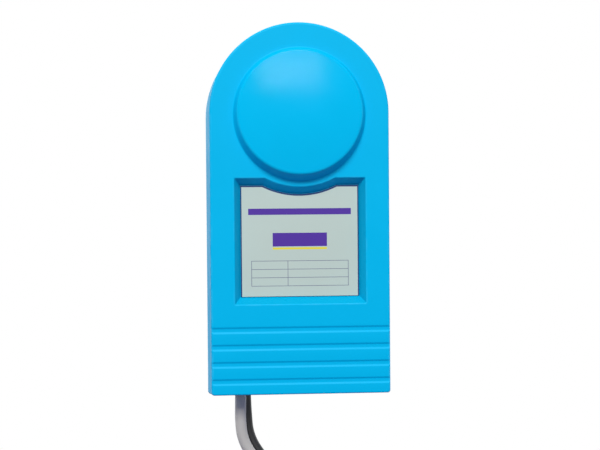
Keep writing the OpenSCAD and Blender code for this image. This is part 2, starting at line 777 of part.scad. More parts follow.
// Leads
module lead_grommet(x, d) {
    color(black) translate([x, -d, 0]) difference() {
        union() {
            translate([0, 0, bottom_z - gland_lip_t]) cylinder(h = gland_lip_t, r = gland_r + gland_lip);
            translate([0, 0, bottom_z - gland_lip_t])
                cylinder(h = gland_lip_t + shelf_t + gland_lip_t, r = gland_r);
            translate([0, 0, shelf_top]) cylinder(h = gland_lip_t, r = gland_r + gland_lip);
            translate([0, 0, shelf_top])
                cylinder(h = gland_grip, r1 = gland_r + gland_lip / 2, r2 = lead_r + gland_tip);
        }
        translate([0, 0, bottom_z - gland_lip_t - over])
            cylinder(h = gland_lip_t + shelf_t + gland_grip + 2 * over, r = lead_r + seat_gap);
    }
}

module supply_lead_grommet() {
    lead_grommet(supply_x, supply_d);
}

module timer_lead_grommet() {
    lead_grommet(timer_x, timer_d);
}

module supply_lead() {
    color(grey) {
        tube(lead_path(supply_route, supply_x, supply_d, -1), lead_r, 10);
        tube(tail_path(supply_x, supply_d, -1, supply_tail), lead_r, 10);
    }
}

module supply_lead_coil() {
    color(grey) tube(coil_path(supply_x, supply_d, -1), lead_r, 6);
}

module timer_lead() {
    color(black) {
        tube(lead_path(timer_route, timer_x, timer_d, 1), lead_r, 10);
        tube(tail_path(timer_x, timer_d, 1, timer_tail), lead_r, 10);
    }
}

module timer_lead_coil() {
    color(black) tube(coil_path(timer_x, timer_d, 1), lead_r, 6);
}

// A strap round all the turns of a coil, at two o'clock
module coil_tie(x, d) {
    clock = 60;
    inner = coil_radius(coil_sweep / 2 - 90);
    half_r = (coil_r - inner + lead_d) / 2 + tie_gap;
    half_d = (coil_step + lead_d) / 2 + tie_gap;
    translate([x, -d, coil_z]) rotate([0, clock, 0]) translate([0, 0, (coil_r + inner) / 2])
        difference() {
            cube([tie_w, 2 * (half_d + tie_t), 2 * (half_r + tie_t)], center = true);
            cube([tie_w + over, 2 * half_d, 2 * half_r], center = true);
        }
}

module supply_lead_tie() {
    color(black) coil_tie(supply_x, supply_d);
}

module timer_lead_tie() {
    color(black) coil_tie(timer_x, timer_d);
}

// Plugs: each is drawn with its pins along +Z, then turned to hang from its lead
module supply_plug_place() {
    translate(coil_finish(supply_x, supply_d, -1) - [0, 0, supply_tail + boot_len])
        rotate([180, 0, 90]) children();
}

module plug_pins(face) {
    color(brass) blades(pin_w, pin_t, face - pin_root, face + pin_len, face + earth_len);
}

module pin_sockets(face) {
    blades(pin_w + 2 * seat_gap, pin_t + 2 * seat_gap, face - pin_root - seat_gap, face + over,
        face + over);
}

module supply_plug_body() {
    color(grey) supply_plug_place() difference() {
        union() {
            intersection() {
                cylinder(h = plug_len, r = plug_r);
                translate([-plug_flat, -plug_r - over, 0])
                    cube([2 * plug_flat, 2 * (plug_r + over), plug_len]);
            }
            translate([0, 0, -boot_len])
                cylinder(h = boot_len + over, r1 = lead_r + boot_wall, r2 = boot_r);
        }
        pin_sockets(plug_len);
    }
}

module supply_plug_pins() {
    supply_plug_place() plug_pins(plug_len);
}

module piggyback_place() {
    translate(coil_finish(timer_x, timer_d, 1) - [0, 0, timer_tail + boot_len + piggy_r])
        rotate([0, 90, 0]) translate([0, 0, -piggy_len / 2]) children();
}

module piggyback_plug_body() {
    color(black) piggyback_place() difference() {
        union() {
            cylinder(h = piggy_len, r = piggy_r);
            translate([0, 0, piggy_len / 2]) rotate([0, -90, 0])
                cylinder(h = piggy_r + boot_len, r1 = boot_r * 1.4, r2 = lead_r + boot_wall);
        }
        pin_sockets(piggy_len);
        mirror([1, 0, 0]) blades(slot_w, slot_t, -over, piggy_len / 2, piggy_len / 2);
    }
}

module piggyback_plug_pins() {
    piggyback_place() plug_pins(piggy_len);
}

// Relay: drawn with its base as the floor, U across, V up the wall and W out from the wall
module relay_place() {
    translate([0, -relay_floor_d, relay_z]) rotate([90, 0, 0]) children();
}

module relay_base() {
    color(black) relay_place() difference() {
        union() {
            translate([-relay_half_w, base_low, -relay_base_t])
                cube([2 * relay_half_w, base_high - base_low, relay_base_t]);
            translate([-ear_w / 2, base_low - ear_len, -relay_base_t])
                cube([ear_w, base_high - base_low + 2 * ear_len, relay_base_t]);
        }
        for (v = ear_places) translate([0, v, -relay_base_t - over])
            cylinder(h = relay_base_t + 2 * over, r = small_screw_r + fit_gap);
        for (u = tab_places) spade_tab(u, seat_gap);
    }
}

module spade_tab(u, grow) {
    translate([u - tab_w / 2 - grow, tab_end - grow, -(relay_base_t + tab_t) / 2 - grow])
        cube([tab_w + 2 * grow, tab_len + tab_root + 2 * grow, tab_t + 2 * grow]);
}

module relay_tabs() {
    color(brass) relay_place() for (u = tab_places) spade_tab(u, 0);
}

module relay_yoke() {
    color(steel) relay_place() difference() {
        union() {
            translate([-yoke_w / 2, yoke_in - yoke_t, 0])
                cube([yoke_w, bobbin_r - yoke_in + yoke_t, yoke_t]);
            translate([-yoke_w / 2, yoke_in - yoke_t, 0]) cube([yoke_w, yoke_t, lug_low]);
            translate([-spring_r - 1, spring_v - spring_r - 1, 0])
                cube([2 * spring_r + 2, yoke_in - spring_v + spring_r, yoke_t]);
            for (u = [-yoke_w / 2, yoke_w / 2 - lug_t])
                translate([u, hinge_v - barrel_r, lug_low - yoke_t])
                    cube([lug_t, 2 * barrel_r, hinge_w + barrel_r - lug_low + yoke_t]);
        }
        translate([-yoke_w, hinge_v, hinge_w]) rotate([0, 90, 0])
            cylinder(h = 2 * yoke_w, r = hinge_r + seat_gap / 2);
    }
}

module relay_core() {
    color(steel) relay_place() {
        translate([0, 0, yoke_t]) cylinder(h = pole_h - yoke_t, r = core_r);
        translate([0, 0, pole_h - 1.2]) cylinder(h = 1.2, r = pole_r);
    }
}

module relay_bobbin() {
    color(ivory) relay_place() translate([0, 0, yoke_t]) difference() {
        bobbin_h = pole_h - yoke_t - 1.2 - seat_gap;
        cylinder(h = bobbin_h, r = bobbin_r);
        translate([0, 0, -over]) cylinder(h = bobbin_h + 2 * over, r = core_r + seat_gap);
        translate([0, 0, bobbin_t]) difference() {
            cylinder(h = bobbin_h - 2 * bobbin_t, r = bobbin_r + over);
            cylinder(h = bobbin_h - 2 * bobbin_t, r = core_r + seat_gap + bobbin_t);
        }
    }
}

module relay_winding() {
    color(copper) relay_place() translate([0, 0, yoke_t + bobbin_t + seat_gap]) difference() {
        winding_h = pole_h - yoke_t - 1.2 - 2 * bobbin_t - 3 * seat_gap;
        cylinder(h = winding_h, r = winding_r);
        translate([0, 0, -over])
            cylinder(h = winding_h + 2 * over, r = core_r + bobbin_t + 2 * seat_gap);
    }
}

module relay_hinge_pin() {
    color(steel) relay_place() translate([-yoke_w / 2, hinge_v, hinge_w]) rotate([0, 90, 0])
        cylinder(h = yoke_w, r = hinge_r);
}

module relay_armature() {
    barrel_half = yoke_w / 2 - lug_t - fit_gap;
    color(steel) relay_place() difference() {
        union() {
            translate([-7, hinge_v + 3, arm_low]) cube([14, pole_r + 4.5 - hinge_v - 3, armature_t]);
            translate([-barrel_half, hinge_v, arm_low]) cube([2 * barrel_half, 4, armature_t]);
            translate([-barrel_half, hinge_v, hinge_w]) rotate([0, 90, 0])
                cylinder(h = 2 * barrel_half, r = barrel_r);
            translate([-spring_r, spring_v - spring_r, hinge_w - tail_half_t])
                cube([2 * spring_r, hinge_v - spring_v + spring_r, 2 * tail_half_t]);
        }
        translate([-yoke_w, hinge_v, hinge_w]) rotate([0, 90, 0])
            cylinder(h = 2 * yoke_w, r = hinge_r + hinge_gap);
    }
}

// The return spring: its ends run straight, square to the yoke's foot and the armature's tail
module relay_return_spring() {
    low = yoke_t;
    high = hinge_w - tail_half_t;
    stub = 3 * spring_wire_r;
    lead_in = 2 * spring_wire_r;
    steps = spring_turns * 8;
    rise = (high - low - 2 * stub - 2 * lead_in) / steps;
    turns = [for (i = [0 : steps])
        [spring_r * cos(45 * i), spring_v + spring_r * sin(45 * i), low + stub + lead_in + rise * i]];
    color(steel) relay_place() tube([
        [spring_r, spring_v, low], [spring_r, spring_v, low + stub], each turns,
        [spring_r, spring_v, high - stub], [spring_r, spring_v, high]], spring_wire_r, 6);
}

module relay_moving_contact() {
    color(copper) relay_place() {
        translate([-2.5, hinge_v + 6, arm_high]) cube([5, contact_v + 2.5 - hinge_v - 6, blade_t]);
        translate([0, contact_v, arm_high - silver_h])
            cylinder(h = silver_h + blade_t / 2, r = silver_r);
    }
}

module relay_fixed_contact() {
    color(copper) relay_place() {
        translate([-2.5, contact_v - 2, 0]) cube([5, 4, fixed_top - silver_h]);
        translate([0, contact_v, fixed_top - silver_h - over])
            cylinder(h = silver_h + over, r = silver_r);
    }
}

module relay_cover() {
    half = relay_half_w - 0.8;
    low = base_low + 0.8;
    high = base_high - 0.8;
    color(clear) relay_place() difference() {
        translate([-half, low, 0]) cube([2 * half, high - low, relay_room + relay_cover_t]);
        translate([relay_cover_t - half, low + relay_cover_t, -over])
            cube([2 * (half - relay_cover_t), high - low - 2 * relay_cover_t, relay_room + over]);
    }
}

module relay_screws() {
    color(steel) for (v = ear_places) small_screw(0, relay_z + v, relay_floor_d, back_t);
}

// Terminal block
module link_slot(grow) {
    translate([block_x - link_w / 2 - grow, -block_axis_d - link_t / 2 - grow, way_heights[1]])
        cube([link_w + 2 * grow, link_t + 2 * grow, way_pitch]);
}

module along_way(z, r, len) {
    translate([block_x - len / 2, -block_axis_d, z]) rotate([0, 90, 0]) cylinder(h = len, r = r);
}

module clamp_places() {
    for (z = way_heights, side = [-1, 1]) translate([block_x + side * clamp_reach, 0, z]) children();
}

module terminal_block() {
    color(ivory) difference() {
        translate([block_x - block_len / 2, -block_back - block_d, block_z - block_end])
            cube([block_len, block_d, 2 * block_end]);
        for (z = way_heights) along_way(z, sleeve_r + seat_gap, block_len + 2 * over);
        link_slot(seat_gap);
        clamp_places() post(0, 0, small_screw_r + thread_gap, block_axis_d, block_back + block_d + over);
        for (side = [-1, 1])
            post(block_x, block_z + side * block_fix, small_screw_r + fit_gap, back_t,
                block_back + block_d + over);
    }
}

module terminal_sleeves() {
    color(brass) difference() {
        union() {
            for (z = way_heights) along_way(z, sleeve_r, sleeve_len);
            link_slot(0);
        }
        for (z = way_heights) along_way(z, sleeve_r - sleeve_wall, block_len + 2 * over);
    }
}

module terminal_screws() {
    color(steel) clamp_places() difference() {
        post(0, 0, small_screw_r, block_axis_d + sleeve_r + seat_gap, block_back + block_d - 1);
        translate([0, -block_back - block_d + 1, 0]) rotate([-90, 0, 0]) driver_slot(small_screw_r, 0.8);
    }
}

module block_screws() {
    color(steel) for (side = [-1, 1])
        small_screw(block_x, block_z + side * block_fix, block_back + block_d, back_t);
}

// Wires: each runs from a lead's core, a way or a tab to the next, through points chosen by hand
end_gap = 0.05;
function core(x, d, turn) = [x + 1.7 * cos(turn), -d + 1.7 * sin(turn), sheath_top];
function rising(p, h) = [p, p + [0, 0, h]];
function way_left(i) = [block_x - sleeve_len / 2 - end_gap, -block_axis_d, way_heights[i]];
function way_right(i) = [block_x + sleeve_len / 2 + end_gap, -block_axis_d, way_heights[i]];
function tab_foot(i) = [tab_places[i], -(relay_floor_d - relay_base_t / 2), relay_z + tab_end - end_gap];
function outlet_tail(ring, turn) = let (p = ring_place(ring, turn)) [p[0], p[1], tail_top + end_gap];
inward = [8, 0, 0];

module wire(points) {
    tube(routed(points, 3), wire_r, 6);
}

module active_wires() {
    color(wire_brown) {
        wire([each rising(core(timer_x, timer_d, 180), 8), [-34, -23, -136], [-26, -18, -114],
            tab_foot(0) - [0, 0, 9], tab_foot(0)]);
        wire([each rising(core(supply_x, supply_d, 180), 8), [-38, -46, -132], [-22, -40, -108],
            [0, -26, -99], tab_foot(2) - [0, 0, 9], tab_foot(2)]);
        wire([tab_foot(3), tab_foot(3) - [0, 0, 9], [28, -24, -118],
            outlet_tail(pin_ring, active_turn) + [0, 0, 12], outlet_tail(pin_ring, active_turn)]);
    }
}

module neutral_wires() {
    color(wire_blue) {
        wire([each rising(core(timer_x, timer_d, -60), 8), [-30, -25, -136], [-20, -23, -114],
            tab_foot(1) - [0, 0, 9], tab_foot(1)]);
        wire([each rising(core(supply_x, supply_d, -60), 4), [-33, -44, -148], [-25, -29, -146],
            way_left(2) - inward, way_left(2)]);
        wire([way_right(2), way_right(2) + inward, [15, -27, -139],
            outlet_tail(pin_ring, neutral_turn) + [0, 0, 10], outlet_tail(pin_ring, neutral_turn)]);
    }
}

module earth_wires() {
    color(wire_green) {
        wire([each rising(core(timer_x, timer_d, 60), 7), [-28, -18, -134],
            way_left(0) - inward, way_left(0)]);
        wire([each rising(core(supply_x, supply_d, 60), 5), [-34, -36, -146], [-26, -21, -140],
            way_left(1) - inward, way_left(1)]);
        wire([way_right(0), way_right(0) + inward, [21, -18, -134],
            outlet_tail(earth_ring, earth_turn) + [0, 0, 10], outlet_tail(earth_ring, earth_turn)]);
    }
}

front_cover();
chassis();
rim_gasket();
cover_screws();
label_plate();
outlet_body();
outlet_cap();
outlet_active_contact();
outlet_neutral_contact();
outlet_earth_contact();
outlet_screws();
supply_lead_grommet();
timer_lead_grommet();
supply_lead();
supply_lead_coil();
supply_lead_tie();
supply_plug_body();
supply_plug_pins();
timer_lead();
timer_lead_coil();
timer_lead_tie();
piggyback_plug_body();
piggyback_plug_pins();
relay_base();
relay_yoke();
relay_core();
relay_bobbin();
relay_winding();
relay_hinge_pin();
relay_armature();
relay_return_spring();
relay_moving_contact();
relay_fixed_contact();
relay_tabs();
relay_cover();
relay_screws();
terminal_block();
terminal_sleeves();
terminal_screws();
block_screws();
active_wires();
neutral_wires();
earth_wires();
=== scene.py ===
"""Looks of a wall-hung pool power box, built round its packed frame.

Metres. +Z is up, the front faces -Y and the wall is the plane Y = 0.
The origin lies on the wall at the centre of the housing's arch.
"""

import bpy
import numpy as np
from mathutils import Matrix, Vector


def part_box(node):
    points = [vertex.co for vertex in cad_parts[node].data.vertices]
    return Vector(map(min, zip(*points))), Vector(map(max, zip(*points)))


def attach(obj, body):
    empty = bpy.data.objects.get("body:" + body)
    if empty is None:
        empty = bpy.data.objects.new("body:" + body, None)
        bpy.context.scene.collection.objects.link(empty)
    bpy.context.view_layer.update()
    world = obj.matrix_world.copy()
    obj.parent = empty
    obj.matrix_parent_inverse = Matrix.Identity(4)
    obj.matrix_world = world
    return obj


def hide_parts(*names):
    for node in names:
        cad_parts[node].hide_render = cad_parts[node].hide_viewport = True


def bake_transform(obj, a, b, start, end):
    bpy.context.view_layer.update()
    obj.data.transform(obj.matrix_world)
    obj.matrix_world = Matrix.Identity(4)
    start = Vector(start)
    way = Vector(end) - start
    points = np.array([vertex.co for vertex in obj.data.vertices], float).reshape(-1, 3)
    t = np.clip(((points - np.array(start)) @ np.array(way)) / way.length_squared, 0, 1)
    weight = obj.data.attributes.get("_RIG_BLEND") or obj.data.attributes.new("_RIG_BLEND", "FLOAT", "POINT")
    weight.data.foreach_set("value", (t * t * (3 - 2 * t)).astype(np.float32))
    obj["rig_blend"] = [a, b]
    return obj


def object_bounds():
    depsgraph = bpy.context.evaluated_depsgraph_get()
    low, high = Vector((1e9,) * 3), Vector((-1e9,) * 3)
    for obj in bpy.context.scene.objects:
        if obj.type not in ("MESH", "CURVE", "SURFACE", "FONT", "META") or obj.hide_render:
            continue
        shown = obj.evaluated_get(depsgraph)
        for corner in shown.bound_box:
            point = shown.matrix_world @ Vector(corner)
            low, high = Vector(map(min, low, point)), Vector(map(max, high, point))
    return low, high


bl_info = {
    "name": "Pool power box",
    "version": (1, 0, 0),
    "blender": (4, 5, 0),
    "location": "View3D > Sidebar > Power box",
    "description": "Builds the shell, leads, plugs and finishes of a wall-hung pool power box",
    "category": "Object",
}

import math
from itertools import accumulate

import bmesh
import bpy
from bpy.props import FloatProperty, FloatVectorProperty, IntProperty, PointerProperty
from mathutils import Euler, Matrix, Vector
from mathutils.geometry import tessellate_polygon

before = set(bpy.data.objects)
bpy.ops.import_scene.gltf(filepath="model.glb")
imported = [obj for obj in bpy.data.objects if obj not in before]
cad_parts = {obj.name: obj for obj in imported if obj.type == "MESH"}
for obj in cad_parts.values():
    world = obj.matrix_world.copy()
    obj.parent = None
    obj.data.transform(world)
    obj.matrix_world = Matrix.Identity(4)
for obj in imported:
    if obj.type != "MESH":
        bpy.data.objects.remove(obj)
cad_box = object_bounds()

MM = 0.001
HOUSING = "housing"
ARMATURE = "armature"
SHARP_ANGLE = math.radians(38)
# Distance from a rounded edge to the next row of points, which keeps flat faces flat
SUPPORT = 0.4 * MM


# Properties

def linear(level):
    """A screen level from 0 to 255 as linear light."""
    share = level / 255
    return share / 12.92 if share <= 0.04045 else ((share + 0.055) / 1.055) ** 2.4


def size(label, millimetres, about):
    return FloatProperty(name=label, description=about, default=millimetres * MM, precision=5,
                         unit="LENGTH", subtype="DISTANCE")


def angle(label, degrees, about):
    return FloatProperty(name=label, description=about, default=math.radians(degrees),
                         unit="ROTATION", subtype="ANGLE")


def share(label, default, about):
    return FloatProperty(name=label, description=about, default=default, min=0, max=1,
                         subtype="FACTOR")


def count(label, default, about):
    return IntProperty(name=label, description=about, default=default, min=1)


def power(label, watts, about):
    return FloatProperty(name=label, description=about, default=watts, unit="POWER")


def colour(label, red, green, blue, about):
    return FloatVectorProperty(name=label, description=about, size=4, min=0, max=1, subtype="COLOR",
                               default=(linear(red), linear(green), linear(blue), 1))


class ShellSizes(bpy.types.PropertyGroup):
    """Sizes of the front cover"""
    face_width: size("Face width", 118, "Width of the front face, and twice its arch's radius")
    drop: size("Drop", 185, "From the arch's centre to the face's bottom edge")
    depth: size("Depth", 65, "From the wall to the front face")
    back: size("Back", -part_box("front_cover")[1].y / MM + 1, "From the wall to the cover's back edge")
    draft: angle("Draft", 1.5, "Draft of the sides")
    wall: size("Wall", 3, "Thickness of the walls")
    edge_round: size("Edge round", 1.5, "Radius of the edge round the front face")
    foot_round: size("Foot round", 0.9, "Radius of the front face's bottom edge")
    foot_slope: angle("Foot slope", 7, "Slope of the lower edge, which rises towards the front")
    corner_round: size("Corner round", 1.8, "Radius of the lower corners at the face")
    corner_spread: angle("Corner spread", 1, "Growth of the lower corners' radius towards the back")
    dome_radius: size("Dome radius", 43.4, "Radius of the dome at its foot")
    dome_height: size("Dome height", 5.4, "Height of the dome's rim above the face, midway up")
    dome_slope: angle("Dome slope", 24, "Lean of the dome's side wall")
    dome_tilt: angle("Dome tilt", 3.5, "Upward tilt of the dome")
    dome_rise: size("Dome rise", 2.8, "Rise of the dome's crown over its rim")
    dome_rim: size("Dome rim", 1.3, "Reach of the rounding of the dome's rim")
    dome_foot: size("Dome foot", 0.8, "Reach of the rounding at the dome's foot")
    hollow_inset: size("Hollow inset", 5, "Thickness of the dome's side wall")
    recess_width: size("Recess width", 86.6, "Width of the label recess at the face")
    recess_height: size("Recess height", 83, "Height of the label recess at the face")
    recess_top: size("Recess top", 42.8, "From the arch's centre to the recess's top edge")
    recess_depth: size("Recess depth", 6.3, "Depth of the label recess")
    side_run: size("Side run", 3.9, "Inward run of the recess's side walls")
    end_run: size("End run", 4.6, "Inward run of the recess's top and bottom walls")
    dip_radius: size("Dip radius", 48.6, "Radius of the arc that dips into the recess's top edge")
    recess_round: size("Recess round", 0.6, "Reach of the rounding of the recess's edge")
    tray_wall: size("Tray wall", 2.6, "Thickness of the wall behind the recess")
    groove_count: count("Grooves", 4, "Number of grooves across the lower face")
    groove_first: size("First groove", 10.1, "From the bottom edge to the lowest groove's upper flank")
    groove_pitch: size("Groove pitch", 11.3, "Spacing of the grooves")
    groove_depth: size("Groove depth", 0.6, "Depth of a groove")
    groove_width: size("Groove width", 3.2, "Width of a groove between the middles of its flanks")
    groove_flank: size("Groove flank", 1.1, "Height of a groove's sloping flanks")
    groove_round: size("Groove round", 0.25, "Reach of the rounding of a groove's corners")
    boss_radius: size("Boss radius", 4.5, "Radius of a screw boss")
    boss_bore: size("Boss bore", 1.56, "Radius of the bore in a boss")
    boss_reach: size("Boss reach", 50, "From the middle to the bosses at the sides")
    boss_angle: angle("Boss angle", 38, "Angle of the upper bosses above the arch's centre")
    boss_mid: size("Boss mid", 50, "Drop of the middle bosses below the arch's centre")
    boss_low: size("Boss low", 50, "Height of the lowest bosses above the bottom edge")


class LeadSizes(bpy.types.PropertyGroup):
    """Sizes of the two mains leads"""
    diameter: size("Diameter", 7.4, "Diameter of a lead")
    supply_x: size("Supply x", -39.5, "Place of the supply lead across the box")
    supply_d: size("Supply depth", 46, "Distance of the supply lead from the wall")
    timer_x: size("Timer x", -35.5, "Place of the timer lead across the box")
    timer_d: size("Timer depth", 24, "Distance of the timer lead from the wall")
    coil_radius: size("Coil radius", 53, "Radius of a coil's outer turn")
    coil_step: size("Coil step", 8, "Step from one turn or layer to the next")
    coil_drop: size("Coil drop", 293, "From the arch's centre to the coils' centres")
    join_angle: angle("Join angle", 33, "Clock angle at which a lead joins its coil")
    coil_sweep: angle("Coil sweep", 1857, "Whole turn of a coil")
    turn_points: count("Points per turn", 48, "Points along each turn of a coil")
    sides: count("Sides", 20, "Points round a lead")
    supply_tail: size("Supply tail", 14, "Straight tail between the supply coil and its plug")
    timer_tail: size("Timer tail", 36, "Straight tail between the timer coil and its plug")
    tie_clock: angle("Tie clock", 60, "Clock angle of the straps on the coils")
    tie_width: size("Tie width", 9, "Width of a strap")
    tie_thickness: size("Tie thickness", 1.4, "Thickness of a strap")
    tie_gap: size("Tie gap", 0.4, "Clearance of a strap round its coil")
    tooth_count: count("Teeth", 9, "Ridges on a strap's tail")


class PlugSizes(bpy.types.PropertyGroup):
    """Sizes of the two plugs"""
    radius: size("Radius", 18, "Radius of the supply plug")
    flat: size("Flat", 12, "Half the thickness of the supply plug between its flats")
    length: size("Length", 26, "Length of the supply plug's body")
    boot_length: size("Boot length", 24, "Length of a plug's strain relief")
    boot_radius: size("Boot radius", 8, "Radius of the strain relief at the plug")
    boot_tip: size("Boot tip", 5.3, "Radius of the strain relief at its tip")
    boot_rings: count("Boot rings", 5, "Grooves round a strain relief")
    piggy_radius: size("Piggyback radius", 16.5, "Radius of the piggyback plug")
    piggy_length: size("Piggyback length", 32, "Length of the piggyback plug")
    edge_round: size("Edge round", 1.6, "Radius of a plug's edges")
    pin_ring: size("Pin ring", 7.92, "Distance of the live pins from the centre")
    earth_ring: size("Earth ring", 10.3, "Distance of the earth pin from the centre")
    pin_width: size("Pin width", 6.35, "Width of a pin")
    pin_thickness: size("Pin thickness", 1.6, "Thickness of a pin")
    pin_length: size("Pin length", 17, "Length of the live pins")
    earth_length: size("Earth length", 20, "Length of the earth pin")
    pin_root: size("Pin root", 6, "Depth of a pin in its plug")
    sleeve: size("Sleeve", 8.5, "Length of the insulating sleeve on a live pin")
    slot_gap: size("Slot gap", 0.3, "Clearance of a pin in the piggyback socket")
    slot_depth: size("Slot depth", 16, "Depth of the piggyback socket's slots")
    grip_count: count("Grips", 5, "Ribs on each side of a plug")


class Colours(bpy.types.PropertyGroup):
    """Colours of the finishes"""
    shell: colour("Shell", 0, 184, 232, "Moulded blue of the shell")
    label: colour("Label", 188, 204, 194, "Pale film of the label")
    band: colour("Band", 74, 38, 148, "Violet print on the label")
    accent: colour("Accent", 226, 214, 62, "Yellow print on the label")
    rule: colour("Rule", 104, 108, 132, "Grey print on the label")
    # Painted shadow: the dark line on the label's top and sides, where the recess walls meet it
    edge: colour("Label edge", 0, 52, 104, "Dark border along the label's edges")
    rubber: colour("Rubber", 30, 30, 32, "Seal and grommets")
    black: colour("Black plastic", 34, 34, 36, "Outlet and straps")
    ivory: colour("Ivory plastic", 222, 214, 190, "Inner mouldings")
    grey_sheath: colour("Grey sheath", 188, 185, 178, "Supply lead and its plug")
    black_sheath: colour("Black sheath", 30, 30, 32, "Timer lead and its plug")
    brown: colour("Brown core", 112, 60, 30, "Active wires")
    blue: colour("Blue core", 36, 84, 184, "Neutral wires")
    green: colour("Green core", 62, 150, 58, "Earth wires")
    yellow: colour("Yellow stripe", 226, 208, 48, "Stripe on the earth wires")
    zinc: colour("Zinc", 196, 199, 204, "Screws and pins")
    iron: colour("Iron", 168, 170, 172, "Relay iron")
    brass: colour("Brass", 214, 178, 104, "Plug pins and contacts")
    copper: colour("Copper", 196, 112, 66, "Winding and blades")


class StageSettings(bpy.types.PropertyGroup):
    """Camera, light and floor"""
    lens: FloatProperty(name="Lens", description="Focal length", default=82.5, unit="CAMERA")
    camera_place: FloatVectorProperty(name="Camera", description="Place of the camera", subtype="XYZ",
                                      unit="LENGTH", default=(-0.07195, -0.96373, -0.05695))
    camera_turn: FloatVectorProperty(name="Camera turn", description="Turn of the camera from a level view",
                                     subtype="EULER", unit="ROTATION",
                                     default=tuple(map(math.radians, (-1.072, 0.451, -4.569))))
    floor_height: size("Floor", 1000 * cad_box[0].z - 22, "Height of the floor")
    floor_reach: size("Floor reach", 900, "Radius of the floor")
    fill: share("Fill", 0.22, "Strength of the light from all round")
    key_power: power("Key", 94, "Power of the lamp over the camera")
    card_power: power("Card", 3.8, "Power of the lamp that glances off the dome")
    rear_power: power("Rear", 8, "Power of each lamp beside and behind the box")


# Node trees

ORIGIN = (0.0, 0.0, 0.0)
SOCKETS = {float: "NodeSocketFloat", int: "NodeSocketInt", tuple: "NodeSocketVector"}
GEOMETRY = ("GeometryNodeTree", "NodeSocketGeometry")
SPECULAR = "Specular IOR Level"
# Width over which a printed edge fades
PRINT_EDGE = 0.06 * MM
# Stretch of the streaks on metal that is drawn upwards
ALONG_Z = (1.0, 1.0, 0.06)
# What the shell's points carry: rubbed edges, the smooth dome and painted shade on the recess's side and
# bottom walls
SHELL_LAYERS = ("wear", "polish", "deep")


def add(tree, kind, inputs=None, **settings):
    """Adds a node; each input is a value to set or a socket to link."""
    made = tree.nodes.new(kind)
    for name, value in settings.items():
        setattr(made, name, value)
    for key, value in (inputs or {}).items():
        if isinstance(value, bpy.types.NodeSocket):
            tree.links.new(value, made.inputs[key])
        else:
            made.inputs[key].default_value = value
    return made


def new_group(name, inputs, outputs, kind="ShaderNodeTree", gives="NodeSocketFloat"):
    """An empty node group; each input has a default value or names its kind of socket."""
    tree = bpy.data.node_groups.new(name, kind)
    for label, default in inputs.items():
        socket = SOCKETS.get(type(default), default)
        made = tree.interface.new_socket(label, in_out="INPUT", socket_type=socket)
        if socket != default:
            made.default_value = default
    for label in outputs:
        tree.interface.new_socket(label, in_out="OUTPUT", socket_type=gives)
    return tree, tree.nodes.new("NodeGroupInput").outputs, tree.nodes.new("NodeGroupOutput").inputs


def tree_of(build):
    """The node group that a function builds, made once and named after it."""
    return bpy.data.node_groups.get(build.__name__) or build()


def place_group(tree, build, inputs):
    return add(tree, "ShaderNodeGroup", inputs, node_tree=tree_of(build)).outputs


def maths(tree, operation, first, second=0.0):
    return add(tree, "ShaderNodeMath", {0: first, 1: second}, operation=operation).outputs[0]


def vector_maths(tree, operation, first, second=ORIGIN):
    return add(tree, "ShaderNodeVectorMath", {0: first, 1: second}, operation=operation).outputs


def noise(tree, place, scale, detail, rough=0.5):
    return add(tree, "ShaderNodeTexNoise", {
        "Vector": place, "Scale": scale, "Detail": detail, "Roughness": rough}).outputs[0]


def ranged(tree, value, low, high, start=0.3, end=0.7, curve="LINEAR"):
    """Brings the range from start to end to the one from low to high."""
    return add(tree, "ShaderNodeMapRange", {
        "Value": value, "From Min": start, "From Max": end, "To Min": low, "To Max": high},
        interpolation_type=curve).outputs[0]


def blend_colours(tree, factor, first, second):
    return add(tree, "ShaderNodeMix", {"Factor": factor, 6: first, 7: second},
               data_type="RGBA").outputs[2]


def object_place(tree):
    return add(tree, "ShaderNodeTexCoord").outputs["Object"]


def distance_along(tree, axes):
    """Distance from the object's origin, measured only along the axes that are 1."""
    flat = vector_maths(tree, "MULTIPLY", object_place(tree), axes)[0]
    return vector_maths(tree, "LENGTH", flat)["Value"]


def grain_group():
    """Fine moulded grain, with a slow mottle that changes over the whole piece."""
    tree, given, out = new_group("grain_group", {
        "Coordinates": ORIGIN, "Grains per metre": 2600.0, "Mottles per metre": 26.0}, ("Height", "Mottle"))
    place = given["Coordinates"]
    tree.links.new(noise(tree, place, given["Grains per metre"], 3.0, 0.6), out["Height"])
    tree.links.new(noise(tree, place, given["Mottles per metre"], 4.0, 0.55), out["Mottle"])
    return tree


def wear_group():
    """Handling wear: a mask where rounded edges are rubbed, broken up by noise."""
    tree, given, out = new_group("wear_group", {"Coordinates": ORIGIN, "Edge": 0.0}, ("Mask",))
    patch = noise(tree, given["Coordinates"], 110.0, 5.0, 0.65)
    kept = ranged(tree, patch, 0.0, 1.0, 0.42, 0.68)
    tree.links.new(maths(tree, "MULTIPLY", kept, given["Edge"]), out["Mask"])
    return tree


def marks_group():
    """Drawn or rolled metal: streaks along one direction, and cloudy tarnish."""
    tree, given, out = new_group(
        "marks_group", {"Coordinates": ORIGIN, "Stretch": ALONG_Z}, ("Streak", "Tarnish"))
    place = given["Coordinates"]
    drawn = vector_maths(tree, "MULTIPLY", place, given["Stretch"])[0]
    tree.links.new(noise(tree, drawn, 4200.0, 2.0), out["Streak"])
    tree.links.new(noise(tree, place, 160.0, 5.0, 0.6), out["Tarnish"])
    return tree


